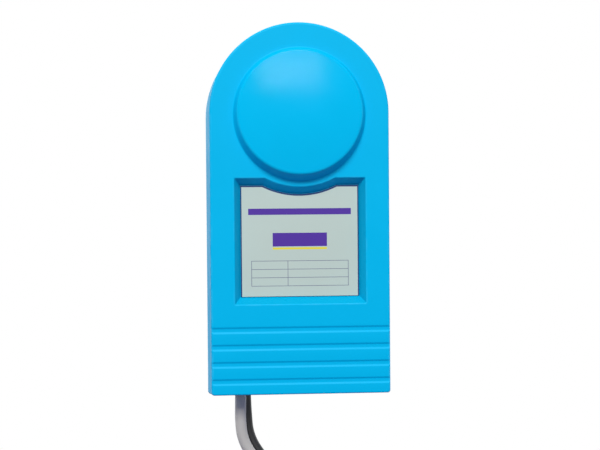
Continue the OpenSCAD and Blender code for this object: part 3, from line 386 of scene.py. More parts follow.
def bar_group():
    """A printed bar: 1 inside a rectangle on the label's face, with crisp edges."""
    tree, given, out = new_group("bar_group", {
        "Coordinates": ORIGIN, "Centre X": 0.0, "Centre Z": 0.0, "Half width": 0.01,
        "Half height": 0.001}, ("Mask",))
    place = add(tree, "ShaderNodeSeparateXYZ", {0: given["Coordinates"]}).outputs
    inside = []
    for axis, half in (("X", "Half width"), ("Z", "Half height")):
        away = maths(tree, "SUBTRACT", place[axis], given["Centre " + axis])
        within = maths(tree, "SUBTRACT", given[half], maths(tree, "ABSOLUTE", away))
        inside.append(ranged(tree, within, 0.0, 1.0, 0.0, PRINT_EDGE))
    tree.links.new(maths(tree, "MULTIPLY", *inside), out["Mask"])
    return tree


# Materials

# Roughness at the low and the high end of the mottle
SATIN, POLISHED, SHEATH, CORE, CLEAR = (0.40, 0.50), (0.13, 0.19), (0.38, 0.52), (0.36, 0.46), (0.06, 0.16)
# Painted shade: how dark the recess's side and bottom walls are made
PAINTED_WALL_SHADE = 0.82
# A rubbed edge: its red, its gain in green and blue, and its strength
RUB_RED, RUB_GREEN, RUB_BLUE, RUB_STRENGTH = 0.05, 1.12, 1.06, 0.5
# The cores under a sheath: how many, their turns per metre and how much they show
LAY_CORES, LAY_TURNS, LAY_RELIEF = 3.0, 22.0, 0.5
CLEAR_TINTS = ((0.86, 0.92, 0.94, 1), (0.95, 0.97, 0.98, 1))


def new_surface(name):
    """The node tree of a new material."""
    material = bpy.data.materials.new(name)
    material.use_nodes = True
    return material.node_tree


def dress(tree, base, rough, height, bump, depth, gloss=0.5, **levels):
    """Sets a surface's colour, roughness, relief and gloss, and other levels by their sockets' names."""
    shader = tree.nodes["Principled BSDF"]
    relief = add(tree, "ShaderNodeBump", {"Strength": bump, "Distance": depth, "Height": height})
    for key, socket in (("Base Color", base), ("Roughness", rough), ("Normal", relief.outputs[0])):
        tree.links.new(socket, shader.inputs[key])
    for key, level in {SPECULAR: gloss, **levels}.items():
        shader.inputs[key].default_value = level


def tint(key, factor=1):
    """A colour from the settings, made lighter or darker."""
    levels = getattr(bpy.context.scene.power_box_colours, key)[:3]
    return (*(min(1, level * factor) for level in levels), 1)


def varied(tree, factor, key, low, high):
    return blend_colours(tree, factor, tint(key, low), tint(key, high))


def grained(tree, grains=2600.0, mottles=26.0):
    """Height and mottle of moulded grain."""
    grain = place_group(tree, grain_group, {
        "Coordinates": object_place(tree), "Grains per metre": grains, "Mottles per metre": mottles})
    return grain["Height"], grain["Mottle"]


def moulded(name, key, rough, grains=2600.0, bump=0.10, gloss=0.4, vary=0.04):
    """Moulded plastic or rubber: fine grain, a slow mottle and uneven sheen."""
    tree = new_surface(name)
    height, mottle = grained(tree, grains)
    dress(tree, varied(tree, mottle, key, 1 - vary, 1 + vary),
          ranged(tree, mottle, rough - 0.04, rough + 0.04), height, bump, 0.1 * MM, gloss)


def shell_plastic(name, key):
    """Bright satin shell: moulded grain, a smoother dome, painted shade on the recess's side and bottom
    walls, and rubbed, paler edges.
    """
    tree = new_surface(name)
    height, mottle = grained(tree, 1900.0)
    wear, polish, deep = (add(tree, "ShaderNodeAttribute", attribute_name=layer).outputs["Fac"]
                          for layer in SHELL_LAYERS)
    rub = place_group(tree, wear_group, {"Coordinates": object_place(tree), "Edge": wear})["Mask"]
    _, green, blue, _ = tint(key)
    # Painted shade: the recess's side and bottom walls are darkened
    body = blend_colours(tree, deep, varied(tree, mottle, key, 0.97, 1.03),
                         (0, green * PAINTED_WALL_SHADE, blue * PAINTED_WALL_SHADE, 1))
    rubbed = (RUB_RED, min(1, green * RUB_GREEN), min(1, blue * RUB_BLUE), 1)
    base = blend_colours(tree, maths(tree, "MULTIPLY", rub, RUB_STRENGTH), body, rubbed)
    rough = add(tree, "ShaderNodeMix", {
        0: polish, 2: ranged(tree, mottle, *SATIN), 3: ranged(tree, mottle, *POLISHED)})
    dress(tree, base, rough.outputs[0], height, bump=0.16, depth=0.1 * MM, gloss=0.05)


def label_film(name, bars, arc):
    """Pale satin film with plain printed bars and rules, and a painted shadow line that follows the dip's
    arc.
    """
    tree = new_surface(name)
    height, mottle = grained(tree, 3400.0)
    place = object_place(tree)
    face = varied(tree, mottle, "label", 0.975, 1.025)
    for key, x, z, wide, high in bars:
        mask = place_group(tree, bar_group, {
            "Coordinates": place, "Centre X": x * MM, "Centre Z": z * MM,
            "Half width": wide * MM / 2, "Half height": high * MM / 2})["Mask"]
        face = blend_colours(tree, mask, face, tint(key))
    # Painted shadow line along the dip's arc at the label's top
    near = ranged(tree, distance_along(tree, (1.0, 0.0, 1.0)), 1.0, 0.0, arc, arc + PRINT_EDGE)
    dress(tree, blend_colours(tree, near, face, tint("edge")), ranged(tree, mottle, *SATIN), height,
          bump=0.05, depth=0.05 * MM, gloss=0.3)


def lead_sheath(name, key):
    """Soft PVC sheath: the lay of the cores shows faintly along it, with scuffs and a satin sheen."""
    tree = new_surface(name)
    along = add(tree, "ShaderNodeUVMap", uv_map="run").outputs[0]
    run = add(tree, "ShaderNodeSeparateXYZ", {0: along}).outputs
    turns = maths(tree, "ADD", maths(tree, "MULTIPLY", run["X"], LAY_CORES),
                  maths(tree, "MULTIPLY", run["Y"], LAY_TURNS))
    lay = maths(tree, "SINE", maths(tree, "MULTIPLY", turns, 2 * math.pi))
    height, mottle = grained(tree, 3000.0, 60.0)
    relief = maths(tree, "ADD", maths(tree, "MULTIPLY", lay, LAY_RELIEF), height)
    dress(tree, varied(tree, mottle, key, 0.93, 1.07), ranged(tree, mottle, *SHEATH), relief,
          bump=0.25, depth=0.08 * MM, gloss=0.4)


def striped_core(name, key, stripe):
    """Wire insulation with a stripe that runs along it in diagonal bands."""
    tree = new_surface(name)
    band = add(tree, "ShaderNodeTexWave", {
        "Vector": object_place(tree), "Scale": 60.0, "Distortion": 1.5, "Detail": 0.0},
        wave_type="BANDS", bands_direction="DIAGONAL").outputs["Fac"]
    mask = ranged(tree, band, 0.0, 1.0, 0.62, 0.70)
    height, mottle = grained(tree)
    dress(tree, blend_colours(tree, mask, tint(key), tint(stripe)), ranged(tree, mottle, *CORE), height,
          bump=0.08, depth=0.05 * MM)


def metal(name, key, rough, stretch=ALONG_Z):
    """Plated or bare metal: drawn streaks and cloudy tarnish."""
    tree = new_surface(name)
    marks = place_group(tree, marks_group, {"Coordinates": object_place(tree), "Stretch": stretch})
    streak = marks["Streak"]
    dress(tree, varied(tree, marks["Tarnish"], key, 0.84, 1.06),
          ranged(tree, streak, rough - 0.07, rough + 0.09), streak, bump=0.10, depth=0.03 * MM,
          Metallic=1.0)


def clear_plastic(name):
    """Clear dust cover: faint moulding ripple and a slightly hazy surface."""
    tree = new_surface(name)
    height, mottle = grained(tree, 420.0, 60.0)
    dress(tree, blend_colours(tree, mottle, *CLEAR_TINTS), ranged(tree, mottle, *CLEAR), height,
          bump=0.06, depth=0.1 * MM, **{"Transmission Weight": 1.0, "IOR": 1.49})


# Each finish's maker, and what the maker is given
FINISHES = {
    "shell_plastic": (shell_plastic, dict(key="shell")),
    "rubber_seal": (moulded, dict(
        key="rubber", rough=0.62, grains=2200.0, bump=0.16, gloss=0.3, vary=0.12)),
    "black_moulding": (moulded, dict(key="black", rough=0.44, grains=2400.0, bump=0.14, vary=0.10)),
    "ivory_moulding": (moulded, dict(key="ivory", rough=0.42)),
    "grey_moulding": (moulded, dict(key="grey_sheath", rough=0.46, grains=2400.0, bump=0.14, vary=0.06)),
    "black_pvc_moulding": (moulded, dict(
        key="black_sheath", rough=0.46, grains=2400.0, bump=0.14, vary=0.10)),
    "grey_sheath": (lead_sheath, dict(key="grey_sheath")),
    "black_sheath": (lead_sheath, dict(key="black_sheath")),
    "brown_core": (moulded, dict(key="brown", rough=0.42)),
    "blue_core": (moulded, dict(key="blue", rough=0.42)),
    "green_core": (striped_core, dict(key="green", stripe="yellow")),
    "zinc_plate": (metal, dict(key="zinc", rough=0.34)),
    "relay_iron_plate": (metal, dict(key="iron", rough=0.40, stretch=(0.06, 1.0, 1.0))),
    "bright_brass": (metal, dict(key="brass", rough=0.28)),
    "copper_wire": (metal, dict(key="copper", rough=0.32, stretch=(1.0, 1.0, 1.0))),
    "clear_cover": (clear_plastic, {}),
}


def finish(name):
    """A finish by its name, made the first time it is asked for."""
    if name not in bpy.data.materials:
        make, given = FINISHES[name]
        make(name, **given)
    return bpy.data.materials[name]


# Mesh tools

def at(across, away, height):
    """A point by its place across the box, its distance from the wall and its height."""
    return Vector((across, -away, height))


def bezier(start, corner, end, steps):
    """Points of a curve from start to end, drawn towards the corner."""
    return [start.lerp(corner, k / steps).lerp(corner.lerp(end, k / steps), k / steps)
            for k in range(steps + 1)]


def round_corner(before, corner, after, reach, steps):
    return bezier(corner + (before - corner).normalized() * reach, corner,
                  corner + (after - corner).normalized() * reach, steps)


def soften(corners, reach, steps=3):
    """An open line with each inner corner rounded within reach of it."""
    line = [corners[0]]
    for before, corner, after in zip(corners, corners[1:], corners[2:]):
        line += round_corner(before, corner, after, reach, steps)
    return line + [corners[-1]]


def rounded_loop(corners, reaches, steps=4):
    """A closed line with each corner rounded within its own reach; a reach of 0 keeps the point."""
    line = []
    for k, (corner, reach) in enumerate(zip(corners, reaches)):
        after = corners[(k + 1) % len(corners)]
        line += round_corner(corners[k - 1], corner, after, reach, steps) if reach else [corner]
    return line


def rectangle(half_x, high, low):
    return [Vector(p) for p in ((half_x, high), (-half_x, high), (-half_x, low), (half_x, low))]


def rounded_rectangle(width, height, reach, steps=2):
    return rounded_loop(rectangle(width / 2, height / 2, -height / 2), [reach] * 4, steps)


def circle(radius, height, segments):
    return [Vector((radius * math.cos(2 * math.pi * k / segments),
                    radius * math.sin(2 * math.pi * k / segments), height)) for k in range(segments)]


def quarter(radius, steps):
    """Round an edge from the side to the face: how far in and how far back each point lies."""
    for k in range(steps + 1):
        turn = math.pi / 2 * k / steps
        yield radius * (1 - math.cos(turn)), radius * (1 - math.sin(turn))


def add_row(bm, points):
    return [bm.verts.new(p) for p in points]


def bridge(bm, first, second, closed=True):
    """Quads between two rows of as many points."""
    for k in range(len(first) - (0 if closed else 1)):
        after = (k + 1) % len(first)
        bm.faces.new((first[k], first[after], second[after], second[k]))


def join(bm, rows, closed=True):
    for first, second in zip(rows, rows[1:]):
        bridge(bm, first, second, closed)


def fan(bm, tip, row):
    for k, point in enumerate(row):
        bm.faces.new((tip, point, row[(k + 1) % len(row)]))


def fill(bm, *loops):
    """A flat area inside the first loop and outside the others."""
    points = [v for loop in loops for v in loop]
    for corners in tessellate_polygon([[v.co for v in loop] for loop in loops]):
        bm.faces.new([points[k] for k in corners])


def loft(bm, rows, cap=True):
    """A closed skin over rows of points, with its two ends filled."""
    made = [add_row(bm, row) for row in rows]
    join(bm, made)
    if cap:
        fill(bm, made[0])
        fill(bm, made[-1])
    return made


def add_prism(bm, place, sections):
    """A solid over rounded rectangles; each has a width, a depth, a corner's reach and a height."""
    loft(bm, [[place @ Vector((p.x, p.y, height)) for p in rounded_rectangle(width, depth, reach)]
              for width, depth, reach, height in sections])


def lathe(bm, profile, place, segments):
    """A turned solid: the profile lists radius and height, and starts and ends on the axis."""
    rows = [add_row(bm, [place @ p for p in circle(radius, height, segments)])
            for radius, height in profile[1:-1]]
    join(bm, rows)
    for (_, height), row in ((profile[0], rows[0]), (profile[-1], rows[-1])):
        fan(bm, bm.verts.new(place @ Vector((0, 0, height))), row)


def sweep(bm, path, outline, closed=False, start=Vector((0, 1, 0))):
    """A skin whose outline follows a path without twisting; start is a direction across its first point."""
    side = start
    rows = []
    last = len(path) - 1
    for k, point in enumerate(path):
        before = path[k - 1] if closed else path[max(k - 1, 0)]
        after = path[(k + 1) % len(path)] if closed else path[min(k + 1, last)]
        ahead = (after - before).normalized()
        side = (side - side.dot(ahead) * ahead).normalized()
        up = ahead.cross(side)
        rows.append(add_row(bm, [point + side * p.x + up * p.y for p in outline]))
    join(bm, rows)
    if closed:
        bridge(bm, rows[-1], rows[0])
    else:
        fill(bm, rows[0])
        fill(bm, rows[-1])
    return rows


def link(name, data):
    """A new object in the scene."""
    made = bpy.data.objects.new(name, data)
    bpy.context.scene.collection.objects.link(made)
    return made


def mesh_of(name, bm):
    mesh = bpy.data.meshes.new(name)
    bm.to_mesh(mesh)
    bm.free()
    return mesh


def evaluated(holder):
    """The mesh of an object with its modifiers applied."""
    bpy.context.view_layer.update()
    done = holder.evaluated_get(bpy.context.evaluated_depsgraph_get())
    return bpy.data.meshes.new_from_object(done)


def make_piece(name, bm, material):
    """Turns a built mesh into a piece: faces outwards, smooth but for sharp edges."""
    bmesh.ops.recalc_face_normals(bm, faces=bm.faces)
    for face in bm.faces:
        face.smooth = True
    for edge in bm.edges:
        edge.smooth = edge.calc_face_angle(0) < SHARP_ANGLE
    return place_mesh(name, mesh_of(name, bm), material)


def place_mesh(name, mesh, material, body=HOUSING):
    mesh.materials.clear()
    mesh.materials.append(finish(material))
    piece = link(name, mesh)
    if body:
        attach(piece, body)
    return piece


def grown(name, build, material, values, place):
    """A piece grown by a geometry tree, with the tree's inputs set by name."""
    holder = link(name + "_seed", bpy.data.meshes.new(name + "_seed"))
    modifier = holder.modifiers.new(name, "NODES")
    modifier.node_group = tree_of(build)
    values["Finish"] = finish(material)
    for item in modifier.node_group.interface.items_tree:
        if item.in_out == "INPUT" and item.name in values:
            modifier[item.identifier] = values[item.name]
    holder.update_tag()
    mesh = evaluated(holder)
    mesh.name = name
    bpy.data.objects.remove(holder)
    mesh.transform(place)
    return place_mesh(name, mesh, material)


def end_tree(tree, geometry, given, out):
    """Ends a geometry tree: one smooth mesh in the given finish."""
    solid = add(tree, "GeometryNodeRealizeInstances", {0: geometry})
    smooth = add(tree, "GeometryNodeSetShadeSmooth", {"Geometry": solid.outputs[0]})
    painted = add(tree, "GeometryNodeSetMaterial", {
        "Geometry": smooth.outputs[0], "Material": given["Finish"]})
    tree.links.new(painted.outputs[0], out[0])
    return tree


def rib_tree():
    """Geometry tree: a row of round-backed ribs."""
    tree, given, out = new_group("rib_tree", {
        "Count": 5, "Start": ORIGIN, "Step": ORIGIN, "Radius": 0.001, "Length": 0.01,
        "Turn": "NodeSocketRotation", "Finish": "NodeSocketMaterial"}, ("Ribs",), *GEOMETRY)
    row = add(tree, "GeometryNodeMeshLine", {
        "Count": given["Count"], "Start Location": given["Start"], "Offset": given["Step"]}, mode="OFFSET")
    bar = add(tree, "GeometryNodeMeshCylinder", {
        "Vertices": 16, "Side Segments": 6, "Fill Segments": 2, "Radius": given["Radius"],
        "Depth": given["Length"]}, fill_type="TRIANGLE_FAN")
    place = add(tree, "GeometryNodeInputPosition").outputs[0]
    height = add(tree, "ShaderNodeSeparateXYZ", {0: place}).outputs["Z"]
    along = maths(tree, "MULTIPLY", maths(tree, "DIVIDE", height, given["Length"]), 2.0)
    steep = maths(tree, "POWER", maths(tree, "ABSOLUTE", along), 4.0)
    taper = maths(tree, "SQRT", maths(tree, "SUBTRACT", 1.02, steep))
    spread = add(tree, "ShaderNodeCombineXYZ", {"X": taper, "Y": taper, "Z": 1.0})
    rib = add(tree, "GeometryNodeSetPosition", {
        "Geometry": bar.outputs["Mesh"],
        "Position": vector_maths(tree, "MULTIPLY", place, spread.outputs[0])[0]})
    ribs = add(tree, "GeometryNodeInstanceOnPoints", {
        "Points": row.outputs[0], "Instance": rib.outputs[0], "Rotation": given["Turn"]})
    return end_tree(tree, ribs.outputs[0], given, out)


def winding_tree():
    """Geometry tree: one layer of wire wound on a core."""
    tree, given, out = new_group("winding_tree", {
        "Turns": 24.0, "Radius": 0.01, "Height": 0.02, "Wire radius": 0.0004,
        "Finish": "NodeSocketMaterial"}, ("Winding",), *GEOMETRY)
    spiral = add(tree, "GeometryNodeCurveSpiral", {
        "Resolution": 40, "Rotations": given["Turns"], "Start Radius": given["Radius"],
        "End Radius": given["Radius"], "Height": given["Height"]})
    section = add(tree, "GeometryNodeCurvePrimitiveCircle", {
        "Resolution": 8, "Radius": given["Wire radius"]})
    wire = add(tree, "GeometryNodeCurveToMesh", {
        "Curve": spiral.outputs[0], "Profile Curve": section.outputs[0], "Fill Caps": True})
    return end_tree(tree, wire.outputs[0], given, out)


# Front cover

# Flat strip above the highest groove
GROOVE_MARGIN = 2 * MM
# Rounding of the recess's corners at the face and at its floor, where its dip starts, and behind it
EDGE_CORNER, FLOOR_CORNER, DIP_CORNER, TRAY_CORNER = 0.7 * MM, 0.5 * MM, 0.8 * MM, 1.2 * MM
# Rounding of the foot and the rim of the hollow behind the dome
HOLLOW_FOOT, HOLLOW_RIM = 0.3 * MM, 0.6 * MM
# From the wall to the end of a boss's bore, and how far a boss passes the cover's edge and enters its face
BORE_END, BOSS_BACK, BOSS_SINK = 17.4 * MM, 1 * MM, 0.4 * MM
# Rings of points along rounded edges and walls
FACE_EDGE, RECESS_EDGE, RECESS_WALL = slice(3, -2), slice(1, 5), slice(5, None)
DOME_WALL, DOME_RIM = slice(0, 10), slice(8, 12)
# How much each rounded edge is rubbed
FACE_WEAR, DOME_WEAR, RECESS_WEAR = 0.7, 0.15, 0.6


def corner_turns(s, steps=8):
    """Round a lower corner, from the bottom edge to the side: each turn, and its cut into the face."""
    for k in range(steps + 1):
        turn = math.pi / 2 * k / steps
        short = max(0, s.foot_round - s.corner_round * (1 - math.cos(turn)))
        yield turn, s.foot_round - math.sqrt(s.foot_round ** 2 - short ** 2)


def groove_rows(s):
    """Heights up the grooved face, and how far the face is cut back at each."""
    corners = [Vector((s.corner_round + 2 * SUPPORT - s.drop, 0))]
    for k in range(s.groove_count):
        middle = s.groove_first + k * s.groove_pitch - s.drop
        low, high = middle - s.groove_width - s.groove_flank / 2, middle + s.groove_flank / 2
        corners += [Vector((low, 0)), Vector((low + s.groove_flank, s.groove_depth)),
                    Vector((high - s.groove_flank, s.groove_depth)), Vector((high, 0))]
    corners.append(Vector((corners[-1].x + GROOVE_MARGIN, 0)))
    return soften(corners, s.groove_round)


def corner_point(s, turn, reach, away, rounded):
    """A point of the lower left corner, whose lower edge slopes and whose radius grows towards the back."""
    behind = s.depth - away
    radius = s.corner_round + behind * math.tan(s.corner_spread)
    low = -s.drop - behind * math.tan(s.foot_slope)
    inset = radius * (1 - math.sin(turn)) if rounded else 0
    return at(inset - s.face_width / 2 - reach, away, low + radius * (1 - math.cos(turn)))


def outer_rings(s):
    """From the back edge to the face: reach past the face's outline, and distance from the wall."""
    lean = math.tan(s.draft)
    start = s.edge_round + SUPPORT
    rings = [(lean * (s.depth - s.back), s.back), (lean * start, s.depth - start)]
    rings += [(lean * back - inset, s.depth - back) for inset, back in quarter(s.edge_round, 7)]
    return rings + [(-start, s.depth)]


def inner_rings(s):
    lean = math.tan(s.draft)
    return [(lean * (s.depth - s.back) - s.wall, s.back), (lean * s.wall - s.wall, s.depth - s.wall)]


def skin(bm, s, rings, front, detailed, segments=72):
    """A wall up the left side, over the arch and down the right.

    Returns its grid, and how many of the grid's rows lie below the arch on one side.
    """
    half = s.face_width / 2

    def cut_back(cut):
        return [(reach, min(away, front - cut * detailed)) for reach, away in rings]

    left = [[corner_point(s, turn, reach, away, detailed) for reach, away in cut_back(cut)]
            for turn, cut in corner_turns(s)]
    left += [[at(-half - reach, away, height) for reach, away in cut_back(cut)]
             for height, cut in groove_rows(s)]
    arch = []
    for k in range(segments + 1):
        turn = math.pi * (1 - k / segments)
        arch.append([at((half + reach) * math.cos(turn), away, (half + reach) * math.sin(turn))
                     for reach, away in rings])
    right = [[Vector((-p.x, p.y, p.z)) for p in row] for row in reversed(left)]
    grid = [add_row(bm, row) for row in left + arch + right]
    join(bm, grid, closed=False)
    return grid, len(left)


def lower_face(bm, grid, lower):
    """The strips of the grooved face; returns the outline of the face above them."""
    for k in range(lower - 1):
        bm.faces.new((grid[k][-1], grid[k + 1][-1], grid[-2 - k][-1], grid[-1 - k][-1]))
    return [row[-1] for row in grid[lower - 1:len(grid) - lower + 1]]


def dome_line(s, turn, side_inset, cap_inset, plane, foot, rim):
    """Up the dome's side at one angle, from the face to the crown: radius and rise in its own frame."""
    lean, up = math.tan(s.dome_slope), math.sin(turn)
    base = s.dome_radius - side_inset / math.cos(s.dome_slope)
    rim_radius = s.dome_radius - s.dome_height * lean
    ball = (rim_radius ** 2 + s.dome_rise ** 2) / (2 * s.dome_rise)
    middle = s.dome_height + s.dome_rise - ball
    ball -= cap_inset
    tip, sunk = math.sin(s.dome_tilt) * up, plane - s.depth

    def on_face(radius):
        return Vector((radius, (sunk + tip * radius) / math.cos(s.dome_tilt)))

    def on_cap(radius):
        return Vector((radius, middle + math.sqrt(ball ** 2 - radius ** 2)))

    rise = (sunk + tip * base) / (math.cos(s.dome_tilt) + lean * tip)
    corner = Vector((base - lean * rise, rise))
    top = on_cap(base - lean * s.dome_height)
    # A few passes bring the point to where the wall meets the cap
    for _ in range(6):
        top = on_cap(base - lean * top.y)
    wall = (top - corner).normalized()
    line = [on_face(corner.x + foot + SUPPORT)]
    line += bezier(on_face(corner.x + foot), corner, corner + wall * foot, 5)
    line += bezier(top - wall * rim, top, on_cap(top.x - rim), 6)
    line.append(on_cap(top.x - rim - SUPPORT))
    return line + [on_cap((top.x - rim - SUPPORT) * (1 - k / 9)) for k in range(1, 9)], on_cap(0)


def add_dome(bm, s, side_inset, cap_inset, plane, foot, rim, segments=112):
    """The dome's rings, from the face to the crown; returns them with the outermost first."""
    place = Matrix.Translation((0, -s.depth, 0)) @ Matrix.Rotation(math.pi / 2 - s.dome_tilt, 4, "X")
    turns = [2 * math.pi * k / segments for k in range(segments)]
    lines = [dome_line(s, turn, side_inset, cap_inset, plane, foot, rim) for turn in turns]
    rings = []
    for points in zip(*(line for line, _ in lines)):
        rings.append(add_row(bm, [place @ Vector((p.x * math.cos(turn), p.x * math.sin(turn), p.y))
                                  for p, turn in zip(points, turns)]))
    join(bm, rings)
    fan(bm, bm.verts.new(place @ Vector((0, 0, lines[0][1].y))), rings[-1])
    return rings


def recess_outline(half, top, low, dip, corner, steps=26):
    """Round the recess, clockwise from the front; its top edge dips round the arch's centre."""
    end = math.sqrt(dip ** 2 - top ** 2)
    corners = [(end, top), (half, top), (half, low), (-half, low), (-half, top), (-end, top)]
    first, last = math.atan2(top, -end), math.atan2(top, end)
    for k in range(1, steps):
        turn = first + (last - first) * k / steps
        corners.append((dip * math.cos(turn), dip * math.sin(turn)))
    reaches = [DIP_CORNER, *[corner] * 4, DIP_CORNER, *[0] * (steps - 1)]
    return rounded_loop([Vector(p) for p in corners], reaches)


def outward(loop):
    """The direction out of a clockwise loop at each of its points."""
    for k in range(len(loop)):
        ahead = (loop[(k + 1) % len(loop)] - loop[k - 1]).normalized()
        yield Vector((-ahead.y, ahead.x))


def add_recess(bm, s):
    """The label recess, from its rounded edge down to its floor; returns its rings."""
    half, top, low = s.recess_width / 2, -s.recess_top, -s.recess_top - s.recess_height
    edge = recess_outline(half, top, low, s.dip_radius, EDGE_CORNER)
    floor = recess_outline(half - s.side_run, top - s.end_run, low + s.end_run, s.dip_radius + s.end_run,
                           FLOOR_CORNER)
    lines = []
    for p, q, out in zip(edge, floor, outward(edge)):
        corner, foot = at(p.x, s.depth, p.y), at(q.x, s.depth - s.recess_depth, q.y)
        way = at(out.x, 0, out.y)
        lines.append([corner + way * (s.recess_round + SUPPORT),
                      *round_corner(corner + way, corner, foot, s.recess_round, 4), foot])
    rings = [add_row(bm, points) for points in zip(*lines)]
    join(bm, rings)
    fill(bm, rings[-1])
    return rings


def add_tray(bm, s):
    """The back of the label recess, inside the cover; returns its outline on the inner face."""
    half, top = s.recess_width / 2 + s.tray_wall, s.tray_wall - s.recess_top
    low = -s.recess_top - s.recess_height - s.tray_wall
    rows = []
    for side, end, away in ((0, 0, s.depth - s.wall),
                            (s.side_run, s.end_run, s.depth - s.recess_depth - s.tray_wall)):
        x, high, base = half - side, top - end, low + end
        corners = [Vector(p) for p in ((x, high), (x, base), (-x, base), (-x, high))]
        rows.append(add_row(bm, [at(p.x, away, p.y) for p in rounded_loop(corners, [TRAY_CORNER] * 4)]))
    bridge(bm, *rows)
    fill(bm, rows[1])
    return rows[0]


def add_bosses(bm, s):
    """Six screw bosses from the inside of the face to the back plate."""
    foot, top, reach = s.back - BOSS_BACK, s.depth - s.wall + BOSS_SINK, s.boss_reach
    profile = [(0, BORE_END), (s.boss_bore, BORE_END), (s.boss_bore, foot), (s.boss_radius, foot),
               (s.boss_radius, top), (0, top)]
    for x, z in ((reach * math.cos(s.boss_angle), reach * math.sin(s.boss_angle)), (reach, -s.boss_mid),
                 (reach, s.boss_low - s.drop)):
        for side in (-1, 1):
            place = Matrix.Translation((side * x, 0, z)) @ Matrix.Rotation(math.pi / 2, 4, "X")
            lathe(bm, profile, place, 32)


class BuildShell(bpy.types.Operator):
    """Build the front cover with its dome, label recess and grooves"""
    bl_idname = "power_box.shell"
    bl_label = "Front cover"

    def execute(self, context):
        s = context.scene.power_box_shell
        bm = bmesh.new()
        for name in SHELL_LAYERS:
            bm.verts.layers.float.new(name)
        wear, polish, deep = (bm.verts.layers.float[name] for name in SHELL_LAYERS)
        outer, lower = skin(bm, s, outer_rings(s), s.depth, True)
        inner, _ = skin(bm, s, inner_rings(s), s.depth - s.wall, False)
        dome = add_dome(bm, s, 0, 0, s.depth, s.dome_foot, s.dome_rim)
        recess = add_recess(bm, s)
        fill(bm, lower_face(bm, outer, lower), dome[0], recess[0])
        hollow = add_dome(bm, s, s.hollow_inset, s.wall, s.depth - s.wall, HOLLOW_FOOT, HOLLOW_RIM)
        fill(bm, lower_face(bm, inner, lower), hollow[0], add_tray(bm, s))
        bridge(bm, [row[0] for row in outer], [row[0] for row in inner], closed=False)
        fill(bm, outer[0] + outer[-1][::-1] + inner[-1] + inner[0][::-1])
        add_bosses(bm, s)
        for level, rings in ((FACE_WEAR, [row[FACE_EDGE] for row in outer]), (DOME_WEAR, dome[DOME_RIM]),
                             (RECESS_WEAR, recess[RECESS_EDGE])):
            for vert in sum(rings, []):
                vert[wear] = level
        # Painted shade on the recess's side and bottom walls, not on its top wall
        beside, below = s.recess_width / 3, -1.5 * s.recess_top
        for vert in sum(recess[RECESS_WALL], []):
            vert[deep] = abs(vert.co.x) > beside or vert.co.z < below
        for vert in bm.verts:
            vert[polish] = vert.co.y < -s.depth - MM
        for vert in sum(dome[DOME_WALL], []):
            vert[polish] = 0
        cover = make_piece("cover_shell", bm, "shell_plastic")
        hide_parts("front_cover")
        return {"FINISHED"}


# Leads

# Each lead's way out of the box, in millimetres: across and away from its place in the shelf, and height
SUPPLY_ROUTE = [(0, 0, -158.5), (0, 0, -176), (0, 0, -186), (-0.1, 0, -195), (-0.1, -1, -203.5),
                (0.8, -1.8, -213.6), (3.7, -2.5, -222.1), (8.8, -3.2, -230)]
TIMER_ROUTE = [(0, 0, -158.5), (0, 0, -176), (0, 0, -186), (0.3, 0, -194), (0.7, 1.2, -203),
               (1.7, 2.5, -213.8), (4.7, 3.3, -222.6), (10.1, 3.8, -231.1)]
STRAP_ROUND = 0.35 * MM
# Lift of a strap's buckle, tail and ridges off the strap, and their height along it from its middle
BUCKLE_LIFT, BUCKLE_HEIGHT = 0.9 * MM, -2 * MM
TAIL_LIFT, TAIL_HEIGHT = 0.35 * MM, 6.2 * MM
TOOTH_LIFT, TOOTH_HEIGHT, TOOTH_PITCH, TOOTH_RADIUS = 1.05 * MM, 2.6 * MM, 1.1 * MM, 0.35 * MM


def coil_radius(lead, turn):
    half = lead.coil_sweep / 2
    return lead.coil_radius - lead.coil_step * (half - abs(turn - half)) / (2 * math.pi)


def coil_point(lead, x, away, side, turn):
    """A point of a coil: a spiral in on one layer and out again on the other."""
    climb = min(1, max(0, (turn - lead.coil_sweep / 2 + math.pi / 2) / math.pi))
    eased = climb * climb * (3 - 2 * climb)
    clock, radius = lead.join_angle + turn, coil_radius(lead, turn)
    return at(x + radius * math.sin(clock), away + side * lead.coil_step * (0.5 - eased),
              radius * math.cos(clock) - lead.coil_drop)


def between(a, b, c, d, t):
    """A point from b to c on the smooth curve through four points."""
    square, cube = 2 * a - 5 * b + 4 * c - d, 3 * b - a - 3 * c + d
    return 0.5 * (2 * b + (c - a) * t + square * t * t + cube * t ** 3)


def smooth_route(points, steps):
    """A curve through the points whose first and last stretches are straight."""
    line = [points[0]]
    for near in zip(points, points[1:], points[2:], points[3:]):
        line += [between(*near, k / steps) for k in range(steps)]
    return line + points[-2:]


def lead_path(lead, route, x, away, side, tail):
    """The whole lead: out of the box, round its coil and down to its plug."""
    turns = math.ceil(math.degrees(lead.coil_sweep) * lead.turn_points / 360)
    coil = [coil_point(lead, x, away, side, lead.coil_sweep * k / turns) for k in range(turns + 1)]
    back = lead.diameter * (coil[1] - coil[0]).normalized()
    run = [at(x + p[0] * MM, away + p[1] * MM, p[2] * MM) for p in route]
    run += [coil[0] - 2 * back, coil[0] - back]
    end = coil[-1] - Vector((0, 0, lead.diameter))
    drop = Vector((0, 0, tail))
    return smooth_route(run, 6) + coil + [end, end - drop / 2, end - drop]


def travel(path):
    """How far along a path each of its points lies."""
    return list(accumulate(((b - a).length for a, b in zip(path, path[1:])), initial=0.0))


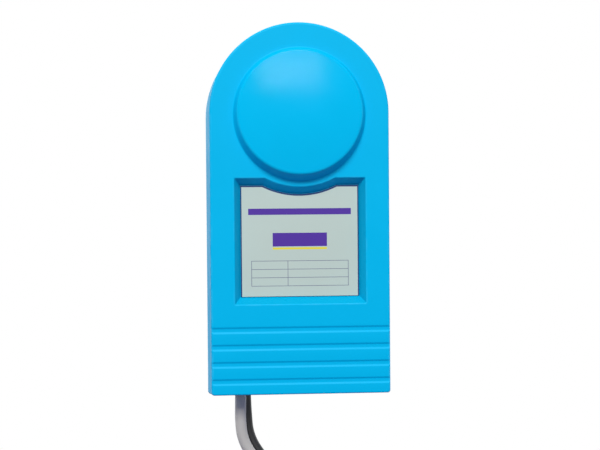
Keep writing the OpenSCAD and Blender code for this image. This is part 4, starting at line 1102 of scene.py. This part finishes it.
def lead_tube(name, path, lead, material):
    """A round tube along the path, with a map of how far round and along each point lies."""
    bm = bmesh.new()
    rows = sweep(bm, path, circle(lead.diameter / 2, 0, lead.sides))
    spot = {}
    for row, distance in zip(rows, travel(path)):
        for k, vert in enumerate(row):
            spot[vert] = (k / lead.sides, distance)
    run = bm.loops.layers.uv.new("run")
    for face in bm.faces:
        rounds = [spot[vert][0] for vert in face.verts]
        seam = max(rounds) - min(rounds) > 0.5
        for loop in face.loops:
            u, v = spot[loop.vert]
            loop[run].uv = (u + 1 if seam and u < 0.5 else u, v)
    return make_piece(name, bm, material)


def tie_place(lead, x, away):
    """Where a strap's middle lies, its height along the coil's radius; and the radius of the inner turn."""
    inner = coil_radius(lead, lead.coil_sweep / 2 - math.pi / 2)
    return (Matrix.Translation(at(x, away, -lead.coil_drop)) @ Matrix.Rotation(lead.tie_clock, 4, "Y")
            @ Matrix.Translation((0, 0, (lead.coil_radius + inner) / 2))), inner


def add_block(bm, place, width, depth, height, reach, bevel):
    """A block with rounded upright edges and softened ends."""
    end = height / 2
    add_prism(bm, place, [(width - 2 * inset, depth - 2 * inset, reach, level) for level, inset in (
        (-end, bevel), (bevel - end, 0), (end - bevel, 0), (end, bevel))])


def build_tie(lead, name, x, away):
    """A strap round a coil, with its buckle, its tail and the ridges on the tail."""
    place, inner = tie_place(lead, x, away)
    bend = (lead.diameter + lead.tie_thickness) / 2 + lead.tie_gap
    half_r, half_d = (lead.coil_radius - inner) / 2 + bend, lead.coil_step / 2 + bend
    corners = rectangle(half_d, half_r, -half_r)
    loop = [place @ Vector((0, p.x, p.y)) for p in rounded_loop(corners, [bend] * 4, 8)]
    bm = bmesh.new()
    strap = rounded_rectangle(lead.tie_width, lead.tie_thickness, STRAP_ROUND)
    sweep(bm, loop, strap, closed=True, start=place.to_3x3() @ Vector((1, 0, 0)))
    front = -half_d - lead.tie_thickness / 2
    buckle = place @ Matrix.Translation((0, front - BUCKLE_LIFT, BUCKLE_HEIGHT))
    add_block(bm, buckle, width=lead.tie_width + 3.2 * MM, depth=3 * MM, height=7 * MM,
              reach=0.8 * MM, bevel=0.5 * MM)
    tail = place @ Matrix.Translation((0, front - TAIL_LIFT, TAIL_HEIGHT))
    add_block(bm, tail, width=lead.tie_width - 0.6 * MM, depth=lead.tie_thickness, height=13 * MM,
              reach=0.4 * MM, bevel=0.4 * MM)
    piece = make_piece(name + "_strap", bm, "black_moulding")
    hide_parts(name + "_lead_tie")
    teeth = grown(name + "_strap_teeth", rib_tree, "black_moulding", {
        "Count": lead.tooth_count, "Start": (0, front - TOOTH_LIFT, TOOTH_HEIGHT),
        "Step": (0, 0, TOOTH_PITCH), "Radius": TOOTH_RADIUS, "Length": lead.tie_width - 2.2 * MM,
        "Turn": (0, math.pi / 2, 0)}, place)
    return [piece, teeth]


class BuildLeads(bpy.types.Operator):
    """Build the two mains leads with their coils, straps and plugs"""
    bl_idname = "power_box.leads"
    bl_label = "Leads and plugs"

    def execute(self, context):
        lead, plug = context.scene.power_box_leads, context.scene.power_box_plugs
        places = {"supply": (lead.supply_x, lead.supply_d), "timer": (lead.timer_x, lead.timer_d)}
        paths = {"supply": lead_path(lead, SUPPLY_ROUTE, *places["supply"], -1, lead.supply_tail),
                 "timer": lead_path(lead, TIMER_ROUTE, *places["timer"], 1, lead.timer_tail)}
        pieces = {name: build_tie(lead, name, *place) for name, place in places.items()}
        pieces["supply"] += build_supply_plug(plug, paths["supply"][-1])
        pieces["timer"] += build_piggyback_plug(plug, paths["timer"][-1])
        flexes = {name: lead_tube(name + "_flex", paths[name], lead, hue + "_sheath")
                  for name, hue in (("supply", "grey"), ("timer", "black"))}
        for name, (x, away) in places.items():
            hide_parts(name + "_lead", name + "_lead_coil")
        return {"FINISHED"}


# Plugs

# Up one ring of a boot: share of the ring's pitch, and depth of the groove
BOOT_RING = ((0.45, 0), (0.52, 0.75 * MM), (0.84, 0.75 * MM), (0.91, 0))
# A boot's chamfer, the start of its rings and its length without rings
BOOT_EDGE, BOOT_START, BOOT_PLAIN = 0.5 * MM, 1.2 * MM, 4 * MM
# Start and rise of the supply plug's shoulder over its boot
SHOULDER_START, SHOULDER_RISE = -1.5 * MM, 6.5 * MM
# The ribs on the supply plug's flats: how deep they sit, where they start, pitch, radius and length
GRIP_SINK, GRIP_START, GRIP_PITCH, GRIP_RADIUS, GRIP_LENGTH = 0.25 * MM, 8 * MM, 3 * MM, 0.95 * MM, 19 * MM
# Up the shallow band round the piggyback plug: height from its middle, and depth
WAIST_BAND = ((-4.2 * MM, 0), (-3.4 * MM, 0.5 * MM), (3.4 * MM, 0.5 * MM), (4.2 * MM, 0))
# Up the flare where the piggyback plug meets its boot: growth of the boot, and height above the plug's side
BOOT_FLARE = ((0.6 * MM, 3 * MM), (1.2 * MM, 1.4 * MM), (2.6 * MM, 0), (2.6 * MM, -6 * MM))
# Up a pin's tip: distance from its end, thinning and narrowing
PIN_TIP = ((2.2 * MM, 0, 0), (0.4 * MM, 0.8 * MM, 1.2 * MM), (0, 1.1 * MM, 2 * MM))
PIN_ROUND, SLEEVE_ROUND, SLOT_ROUND, SLOT_MOUTH = 0.2 * MM, 0.3 * MM, 0.25 * MM, 0.4 * MM


def boot_profile(plug, start, end):
    """Radius and height up a strain relief that is ringed with grooves."""
    tip, base = plug.boot_tip, plug.boot_radius
    line = [(tip - BOOT_EDGE, start), (tip, start + BOOT_EDGE)]
    pitch = (end - start - BOOT_PLAIN) / plug.boot_rings
    for k in range(plug.boot_rings):
        for part, sink in BOOT_RING:
            height = start + BOOT_START + (k + part) * pitch
            line.append((tip + (base - tip) * (height - start) / (end - start) - sink, height))
    return line


def plug_section(radius, flat, height, segments=64, sharp=14):
    """A round section with two flats, its corners smoothed."""
    points = []
    for k in range(segments):
        turn = 2 * math.pi * k / segments
        reach = (radius ** -sharp + (flat / max(abs(math.cos(turn)), 1e-6)) ** -sharp) ** (-1 / sharp)
        points.append(Vector((reach * math.cos(turn), reach * math.sin(turn), height)))
    return points


def pin_places(plug, mirrored=False):
    """Each pin's place in the plug's own frame, its width along X; its length; whether it has a sleeve."""
    side = -1 if mirrored else 1
    for turn in (-30, 210):
        yield (Matrix.Scale(side, 4, (1, 0, 0)) @ Matrix.Rotation(math.radians(turn), 4, "Z")
               @ Matrix.Translation((plug.pin_ring, 0, 0)) @ Matrix.Rotation(math.pi / 2, 4, "Z"),
               plug.pin_length, True)
    yield (Matrix.Rotation(math.pi / 2, 4, "Z") @ Matrix.Translation((plug.earth_ring, 0, 0)),
           plug.earth_length, False)


def build_pins(plug, name, node, place, face):
    """Three flat pins with rounded edges and tapered tips."""
    bm = bmesh.new()
    for spot, length, _ in pin_places(plug):
        sections = [(plug.pin_width, plug.pin_thickness, PIN_ROUND, face - plug.pin_root)]
        sections += [(plug.pin_width - narrow, plug.pin_thickness - thin, PIN_ROUND, face + length - short)
                     for short, thin, narrow in PIN_TIP]
        add_prism(bm, place @ spot, sections)
    piece = make_piece(name, bm, "bright_brass")
    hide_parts(node)
    return piece


def add_sleeves(bm, plug, place, face):
    """Insulating sleeves at the roots of the live pins."""
    for spot, _, sleeved in pin_places(plug):
        if sleeved:
            add_prism(bm, place @ spot, [
                (plug.pin_width + grow, plug.pin_thickness + grow, SLEEVE_ROUND, face + height)
                for height, grow in ((-1 * MM, 0.56 * MM), (plug.sleeve - 0.3 * MM, 0.56 * MM),
                                     (plug.sleeve, 0.26 * MM))])


def build_supply_plug(plug, lead_end):
    """The straight plug: a waisted moulding with flats, a ringed boot and grip ribs."""
    place = (Matrix.Translation(lead_end - Vector((0, 0, plug.boot_length)))
             @ Matrix.Rotation(math.pi / 2, 4, "Z") @ Matrix.Rotation(math.pi, 4, "X"))
    bm = bmesh.new()
    rows = [circle(radius, height, 64) for radius, height in boot_profile(plug, -plug.boot_length, 0)]
    for k in range(1, 9):
        turn = math.pi / 2 * k / 8
        ease = math.sin(turn)
        rows.append(plug_section(plug.boot_radius + (plug.radius - plug.boot_radius) * ease,
                                 2 * plug.boot_radius + (plug.flat - 2 * plug.boot_radius) * ease,
                                 SHOULDER_START + SHOULDER_RISE * (1 - math.cos(turn))))
    for inset, back in (*quarter(plug.edge_round, 5), (plug.edge_round + SUPPORT, 0)):
        rows.append(plug_section(plug.radius - inset, plug.flat - inset, plug.length - back))
    loft(bm, [[place @ p for p in row] for row in rows])
    add_sleeves(bm, plug, place, plug.length)
    body = make_piece("supply_plug_moulding", bm, "grey_moulding")
    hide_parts("supply_plug_body")
    grips = [grown("supply_plug_grip_" + label, rib_tree, "grey_moulding", {
        "Count": plug.grip_count, "Start": (side * (plug.flat - GRIP_SINK), 0, GRIP_START),
        "Step": (0, 0, GRIP_PITCH), "Radius": GRIP_RADIUS, "Length": GRIP_LENGTH,
        "Turn": (math.pi / 2, 0, 0)}, place)
        for label, side in (("left", -1), ("right", 1))]
    return [body, *grips, build_pins(plug, "supply_plug_blades", "supply_plug_pins", place, plug.length)]


def build_piggyback_plug(plug, lead_end):
    """The piggyback plug: a round moulding with a socket behind its pins and a boot at its side."""
    side, waist = plug.piggy_radius, plug.piggy_length / 2
    place = (Matrix.Translation(lead_end - Vector((0, 0, plug.boot_length + side)))
             @ Matrix.Rotation(math.pi / 2, 4, "Y") @ Matrix.Translation((0, 0, -waist)))
    bm = bmesh.new()
    edge = [(side - back, inset) for inset, back in quarter(plug.edge_round, 5)]
    band = [(side - sink, waist + height) for height, sink in WAIST_BAND]
    far = [(radius, plug.piggy_length - height) for radius, height in reversed(edge)]
    lathe(bm, [(0, 0), *edge, *band, *far, (0, plug.piggy_length)], place, 72)
    body = make_piece("piggyback_moulding", bm, "black_pvc_moulding")
    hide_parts("piggyback_plug_body")
    cut_slots(plug, body, place)
    bm = bmesh.new()
    upward = place @ Matrix.Translation((0, 0, waist)) @ Matrix.Rotation(-math.pi / 2, 4, "Y")
    reach = side + plug.boot_length
    rings = [(radius, reach - (height - side)) for radius, height in boot_profile(plug, side, reach)]
    rings += [(plug.boot_radius + grow, side + height) for grow, height in BOOT_FLARE]
    loft(bm, [[upward @ p for p in circle(radius, height, 48)] for radius, height in rings])
    add_sleeves(bm, plug, place, plug.piggy_length)
    boot = make_piece("piggyback_boot", bm, "black_pvc_moulding")
    pins = build_pins(plug, "piggyback_blades", "piggyback_plug_pins", place, plug.piggy_length)
    return [body, boot, pins]


def cut_slots(plug, body, place):
    """Cuts the piggyback socket's three slots into the back of its body."""
    bm = bmesh.new()
    width, depth = plug.pin_width + 2 * plug.slot_gap, plug.pin_thickness + 2 * plug.slot_gap
    for spot, _, _ in pin_places(plug, mirrored=True):
        add_prism(bm, place @ spot, [(width + 1.2 * MM, depth + 1.2 * MM, SLOT_MOUTH, -0.01 * MM),
                                     (width, depth, SLOT_ROUND, 0.6 * MM),
                                     (width, depth, SLOT_ROUND, plug.slot_depth)])
    bmesh.ops.recalc_face_normals(bm, faces=bm.faces)
    cutter = link("slot_cutter", mesh_of("slot_cutter", bm))
    modifier = body.modifiers.new("slots", "BOOLEAN")
    modifier.object = cutter
    modifier.solver = "EXACT"
    cut = evaluated(body)
    body.modifiers.remove(modifier)
    body.data = cut
    bpy.data.objects.remove(cutter)


# Pieces that keep their packed shape

# Points closer than this are one
WELD = 0.002 * MM
# Edges sharper than this are softened
EDGE_ANGLE = math.radians(32)
# How far the wires and the spring are swollen back to their true thickness
WIRE_SWELL, SPRING_SWELL = 0.16 * MM, 0.05 * MM
# The label's print, and as its edge entries a painted shadow line along its top and sides: colour, middle
# across and up, width and height, in millimetres
LABEL_BARS = (
    ("edge", 0, -48.15, 78.4, 1.2), ("edge", -38.75, -84.3, 0.9, 73.4), ("edge", 38.75, -84.3, 0.9, 73.4),
    ("band", 0, -65, 68, 4.2), ("band", 0, -83.5, 36, 9), ("accent", 0, -89.3, 36, 1.4),
    *(("rule", 0, -97.5 - 5.5 * row, 64, 0.4) for row in range(4)),
    *(("rule", x, -105.75, 0.4, 16.9) for x in (-32, -8, 32)))
# Width of the painted shadow line on the label along the dip, from the edge of the recess's floor
PAINTED_ARC_SHADOW = 1.4 * MM


def edge_finish(node, material, bevel):
    """Softens the edges of a packed node and gives it its finish."""
    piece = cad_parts[node]
    weld = piece.modifiers.new("weld", "WELD")
    weld.merge_threshold = WELD
    flat = piece.modifiers.new("flat", "DECIMATE")
    flat.decimate_type = "DISSOLVE"
    flat.angle_limit = math.radians(0.3)
    soft = piece.modifiers.new("soft", "BEVEL")
    soft.width = bevel
    soft.segments = 2
    soft.limit_method = "ANGLE"
    soft.angle_limit = EDGE_ANGLE
    soft.miter_outer = "MITER_ARC"
    piece.modifiers.new("even", "WEIGHTED_NORMAL").keep_sharp = False
    for slot in piece.material_slots:
        slot.material = finish(material)


def finish_nodes(finishes):
    """Finishes packed nodes: each finish lists its nodes with their bevels in millimetres."""
    for material, nodes in finishes.items():
        for node, bevel in nodes.items():
            edge_finish(node, material, bevel * MM)


def smooth_copy(node, name, material, swell, body=HOUSING):
    """A rounder copy of a packed tube: merged, smoothed and swollen to its true thickness."""
    bm = bmesh.new()
    bm.from_mesh(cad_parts[node].data)
    bmesh.ops.remove_doubles(bm, verts=bm.verts, dist=WELD)
    bmesh.ops.dissolve_limit(bm, angle_limit=math.radians(1), verts=bm.verts, edges=bm.edges)
    bm.normal_update()
    for vert in bm.verts:
        vert.co += vert.normal * swell
    holder = link(name + "_rough", mesh_of(name, bm))
    rounder = holder.modifiers.new("round", "SUBSURF")
    rounder.levels = rounder.render_levels = 2
    smooth = evaluated(holder)
    bpy.data.objects.remove(holder)
    smooth.shade_smooth()
    piece = place_mesh(name, smooth, material, body)
    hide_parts(node)
    return piece


class FinishCase(bpy.types.Operator):
    """Finish the back of the case: chassis, seal, screws, outlet and grommets"""
    bl_idname = "power_box.case"
    bl_label = "Back, outlet and fixings"

    def execute(self, context):
        finish_nodes({
            "shell_plastic": {"chassis": 0.45},
            "rubber_seal": {"rim_gasket": 0.2, "supply_lead_grommet": 0.3, "timer_lead_grommet": 0.3},
            "zinc_plate": {"cover_screws": 0.15, "outlet_screws": 0.12},
            "black_moulding": {"outlet_body": 0.3},
            "ivory_moulding": {"outlet_cap": 0.3},
            "bright_brass": {"outlet_active_contact": 0.08, "outlet_neutral_contact": 0.08,
                             "outlet_earth_contact": 0.08},
        })
        return {"FINISHED"}


class FinishLabel(bpy.types.Operator):
    """Finish the label plate with a plain printed layout and painted shadow lines along its edges"""
    bl_idname = "power_box.label"
    bl_label = "Label plate"

    def execute(self, context):
        shell = context.scene.power_box_shell
        label_film("label_film", LABEL_BARS, shell.dip_radius + shell.end_run + PAINTED_ARC_SHADOW)
        edge_finish("label_plate", "label_film", 0.15 * MM)
        return {"FINISHED"}


class FinishRelay(bpy.types.Operator):
    """Finish the relay, the terminal block and the wires inside the case"""
    bl_idname = "power_box.relay"
    bl_label = "Relay, terminals and wires"

    def execute(self, context):
        finish_nodes({
            "black_moulding": {"relay_base": 0.3},
            "ivory_moulding": {"relay_bobbin": 0.15, "terminal_block": 0.3},
            "relay_iron_plate": {"relay_yoke": 0.2, "relay_core": 0.2, "relay_armature": 0.15},
            "zinc_plate": {"relay_hinge_pin": 0.15, "relay_screws": 0.12, "terminal_screws": 0.1,
                           "block_screws": 0.12},
            "copper_wire": {"relay_moving_contact": 0.08, "relay_fixed_contact": 0.1},
            "bright_brass": {"relay_tabs": 0.12, "terminal_sleeves": 0.1},
            "clear_cover": {"relay_cover": 0.3},
        })
        for name, core in (("active", "brown"), ("neutral", "blue"), ("earth", "green")):
            smooth_copy(name + "_wires", name + "_cores", core + "_core", WIRE_SWELL)
        low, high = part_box("relay_return_spring")
        middle = (low + high) / 2
        spring = smooth_copy("relay_return_spring", "return_spring", "zinc_plate",
                             SPRING_SWELL, body=None)
        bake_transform(spring, HOUSING, ARMATURE, (middle.x, high.y, middle.z), (middle.x, low.y, middle.z))
        wind_coil()
        return {"FINISHED"}


def wind_coil(wire=0.3 * MM, hole=5.3 * MM, pitch=2.05):
    """The relay's winding: one visible layer of wire over a plain core; the pitch is in wire radii."""
    low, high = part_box("relay_winding")
    middle = (low + high) / 2
    reach, height = (high.x - low.x) / 2, high.y - low.y
    inside = reach - 2 * wire
    place = Matrix.Translation((middle.x, high.y, middle.z)) @ Matrix.Rotation(math.pi / 2, 4, "X")
    bm = bmesh.new()
    rows = loft(bm, [[place @ p for p in circle(radius, level, 48)] for radius, level in (
        (hole, 0), (inside, 0), (inside, height), (hole, height))], cap=False)
    bridge(bm, rows[-1], rows[0])
    core = make_piece("winding_core", bm, "copper_wire")
    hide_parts("relay_winding")
    run = height - 2 * wire
    grown("winding_turns", winding_tree, "copper_wire", {
        "Turns": run / (pitch * wire), "Radius": reach - wire, "Height": run, "Wire radius": wire},
        place @ Matrix.Translation((0, 0, wire)))


# Stage

# Each lamp's place, the point it faces, its width, its height, and its share of a power from the settings
LAMPS = {
    "key": ((-0.25, -2.32, 1.90), (0, -0.06, -0.08), 1.7, 0.9, "key_power", 1),
    "card": ((0.03, -0.985, 0.40), (0, -0.06, 0), 0.34, 0.19, "card_power", 1),
    "left": ((-1.25, 0.40, 0.15), (0, 0, -0.12), 1.2, 1.2, "rear_power", 0.6),
    "right": ((1.25, 0.40, 0.30), (0, 0, -0.12), 1.2, 1.2, "rear_power", 0.6),
    "rear": ((0.30, 1.25, 0.55), (0, 0, -0.12), 1.2, 1.2, "rear_power", 1),
}
KEY_TINT = (1, 1, 0.97)
FILL_TINT = (0.98, 0.98, 1.28, 1)
FLOOR_TINTS = ((0.86, 0.86, 0.86, 1), (0.90, 0.90, 0.90, 1))
# Light that the floor throws back at the box
FLOOR_BOUNCE = (0.14, 0.16, 0.34, 1)
# The floor fades between these shares of its reach
FADE_START, FADE_END = 0.45, 0.98


def add_lamp(name, spot, target, width, height, power):
    data = bpy.data.lights.new(name, "AREA")
    data.shape = "RECTANGLE"
    data.size, data.size_y, data.energy = width, height, power
    lamp = link(name, data)
    lamp.visible_camera = False
    lamp.location = spot
    lamp.rotation_mode = "QUATERNION"
    lamp.rotation_quaternion = (Vector(target) - Vector(spot)).to_track_quat("-Z", "Y")
    return lamp


def seen_directly(tree):
    """1 where the camera sees a thing, straight, in a gloss or through a clear piece."""
    path = add(tree, "ShaderNodeLightPath").outputs
    seen = path["Is Camera Ray"]
    for ray in ("Is Glossy Ray", "Is Transmission Ray"):
        seen = maths(tree, "MAXIMUM", seen, path[ray])
    return seen


def set_world(strength):
    """White where the camera, a gloss or a clear piece sees it, and a plain fill light elsewhere."""
    world = bpy.data.worlds.new("studio")
    bpy.context.scene.world = world
    world.use_nodes = True
    tree = world.node_tree
    tree.nodes.clear()
    soft = add(tree, "ShaderNodeBackground", {"Color": FILL_TINT, "Strength": strength})
    white = add(tree, "ShaderNodeBackground", {"Color": (1, 1, 1, 1), "Strength": 1.0})
    both = add(tree, "ShaderNodeMixShader", {
        0: seen_directly(tree), 1: soft.outputs[0], 2: white.outputs[0]})
    add(tree, "ShaderNodeOutputWorld", {0: both.outputs[0]})


def floor_paint(name, reach):
    """Pale floor that keeps the shadow and fades out towards its rim."""
    tree = new_surface(name)
    inputs = tree.nodes["Principled BSDF"].inputs
    away = distance_along(tree, (1.0, 1.0, 0.0))
    fade = ranged(tree, away, 1.0, 0.0, FADE_START * reach, FADE_END * reach, "SMOOTHSTEP")
    pale = blend_colours(tree, noise(tree, object_place(tree), 9.0, 4.0), *FLOOR_TINTS)
    tree.links.new(blend_colours(tree, seen_directly(tree), FLOOR_BOUNCE, pale), inputs["Base Color"])
    tree.links.new(fade, inputs["Alpha"])
    inputs["Roughness"].default_value = 0.9
    inputs[SPECULAR].default_value = 0.0


class BuildStage(bpy.types.Operator):
    """Set up the camera, the soft studio light and the pale floor"""
    bl_idname = "power_box.stage"
    bl_label = "Stage"

    def execute(self, context):
        scene = context.scene
        s = scene.power_box_stage
        scene.view_settings.view_transform = "Standard"
        data = bpy.data.cameras.new("camera")
        data.lens = s.lens
        data.sensor_width = 36
        data.clip_start, data.clip_end = 0.01, 20
        scene.camera = link("camera", data)
        turn = Euler(s.camera_turn).to_matrix() @ Matrix.Rotation(math.pi / 2, 3, "X")
        scene.camera.matrix_world = Matrix.Translation(s.camera_place) @ turn.to_4x4()
        set_world(s.fill)
        lamps = {name: add_lamp(name, *where, getattr(s, power) * part)
                 for name, (*where, power, part) in LAMPS.items()}
        lamps["key"].data.color = KEY_TINT
        lamps["card"].visible_diffuse = False
        bm = bmesh.new()
        fill(bm, add_row(bm, circle(s.floor_reach, 0, 96)))
        bmesh.ops.recalc_face_normals(bm, faces=bm.faces)
        mesh = mesh_of("floor", bm)
        mesh.transform(Matrix.Translation((0, 0, s.floor_height)))
        floor_paint("pale_floor", s.floor_reach)
        mesh.materials.append(finish("pale_floor"))
        link("floor", mesh)
        return {"FINISHED"}


# Panel

STEPS = (BuildStage, BuildLeads, BuildShell, FinishLabel, FinishCase, FinishRelay)
SETTINGS = {"power_box_shell": ShellSizes, "power_box_leads": LeadSizes, "power_box_plugs": PlugSizes,
            "power_box_colours": Colours, "power_box_stage": StageSettings}


class PowerBoxPanel(bpy.types.Panel):
    """Lists the steps that build the power box"""
    bl_idname = "VIEW3D_PT_power_box"
    bl_label = "Power box"
    bl_space_type = "VIEW_3D"
    bl_region_type = "UI"
    bl_category = "Power box"

    def draw(self, context):
        for step in STEPS:
            self.layout.operator(step.bl_idname)
        for name, group in SETTINGS.items():
            box = self.layout.box()
            box.label(text=group.__doc__)
            for label in group.__annotations__:
                box.prop(getattr(context.scene, name), label)


def register():
    for kind in (*SETTINGS.values(), *STEPS, PowerBoxPanel):
        bpy.utils.register_class(kind)
    for name, group in SETTINGS.items():
        setattr(bpy.types.Scene, name, PointerProperty(type=group))


def unregister():
    for name in SETTINGS:
        delattr(bpy.types.Scene, name)
    for kind in (PowerBoxPanel, *STEPS, *SETTINGS.values()):
        bpy.utils.unregister_class(kind)


def main():
    register()
    bpy.ops.power_box.stage()
    bpy.ops.power_box.leads()
    bpy.ops.power_box.shell()
    bpy.ops.power_box.label()
    bpy.ops.power_box.case()
    bpy.ops.power_box.relay()


if __name__ == "__main__":
    main()
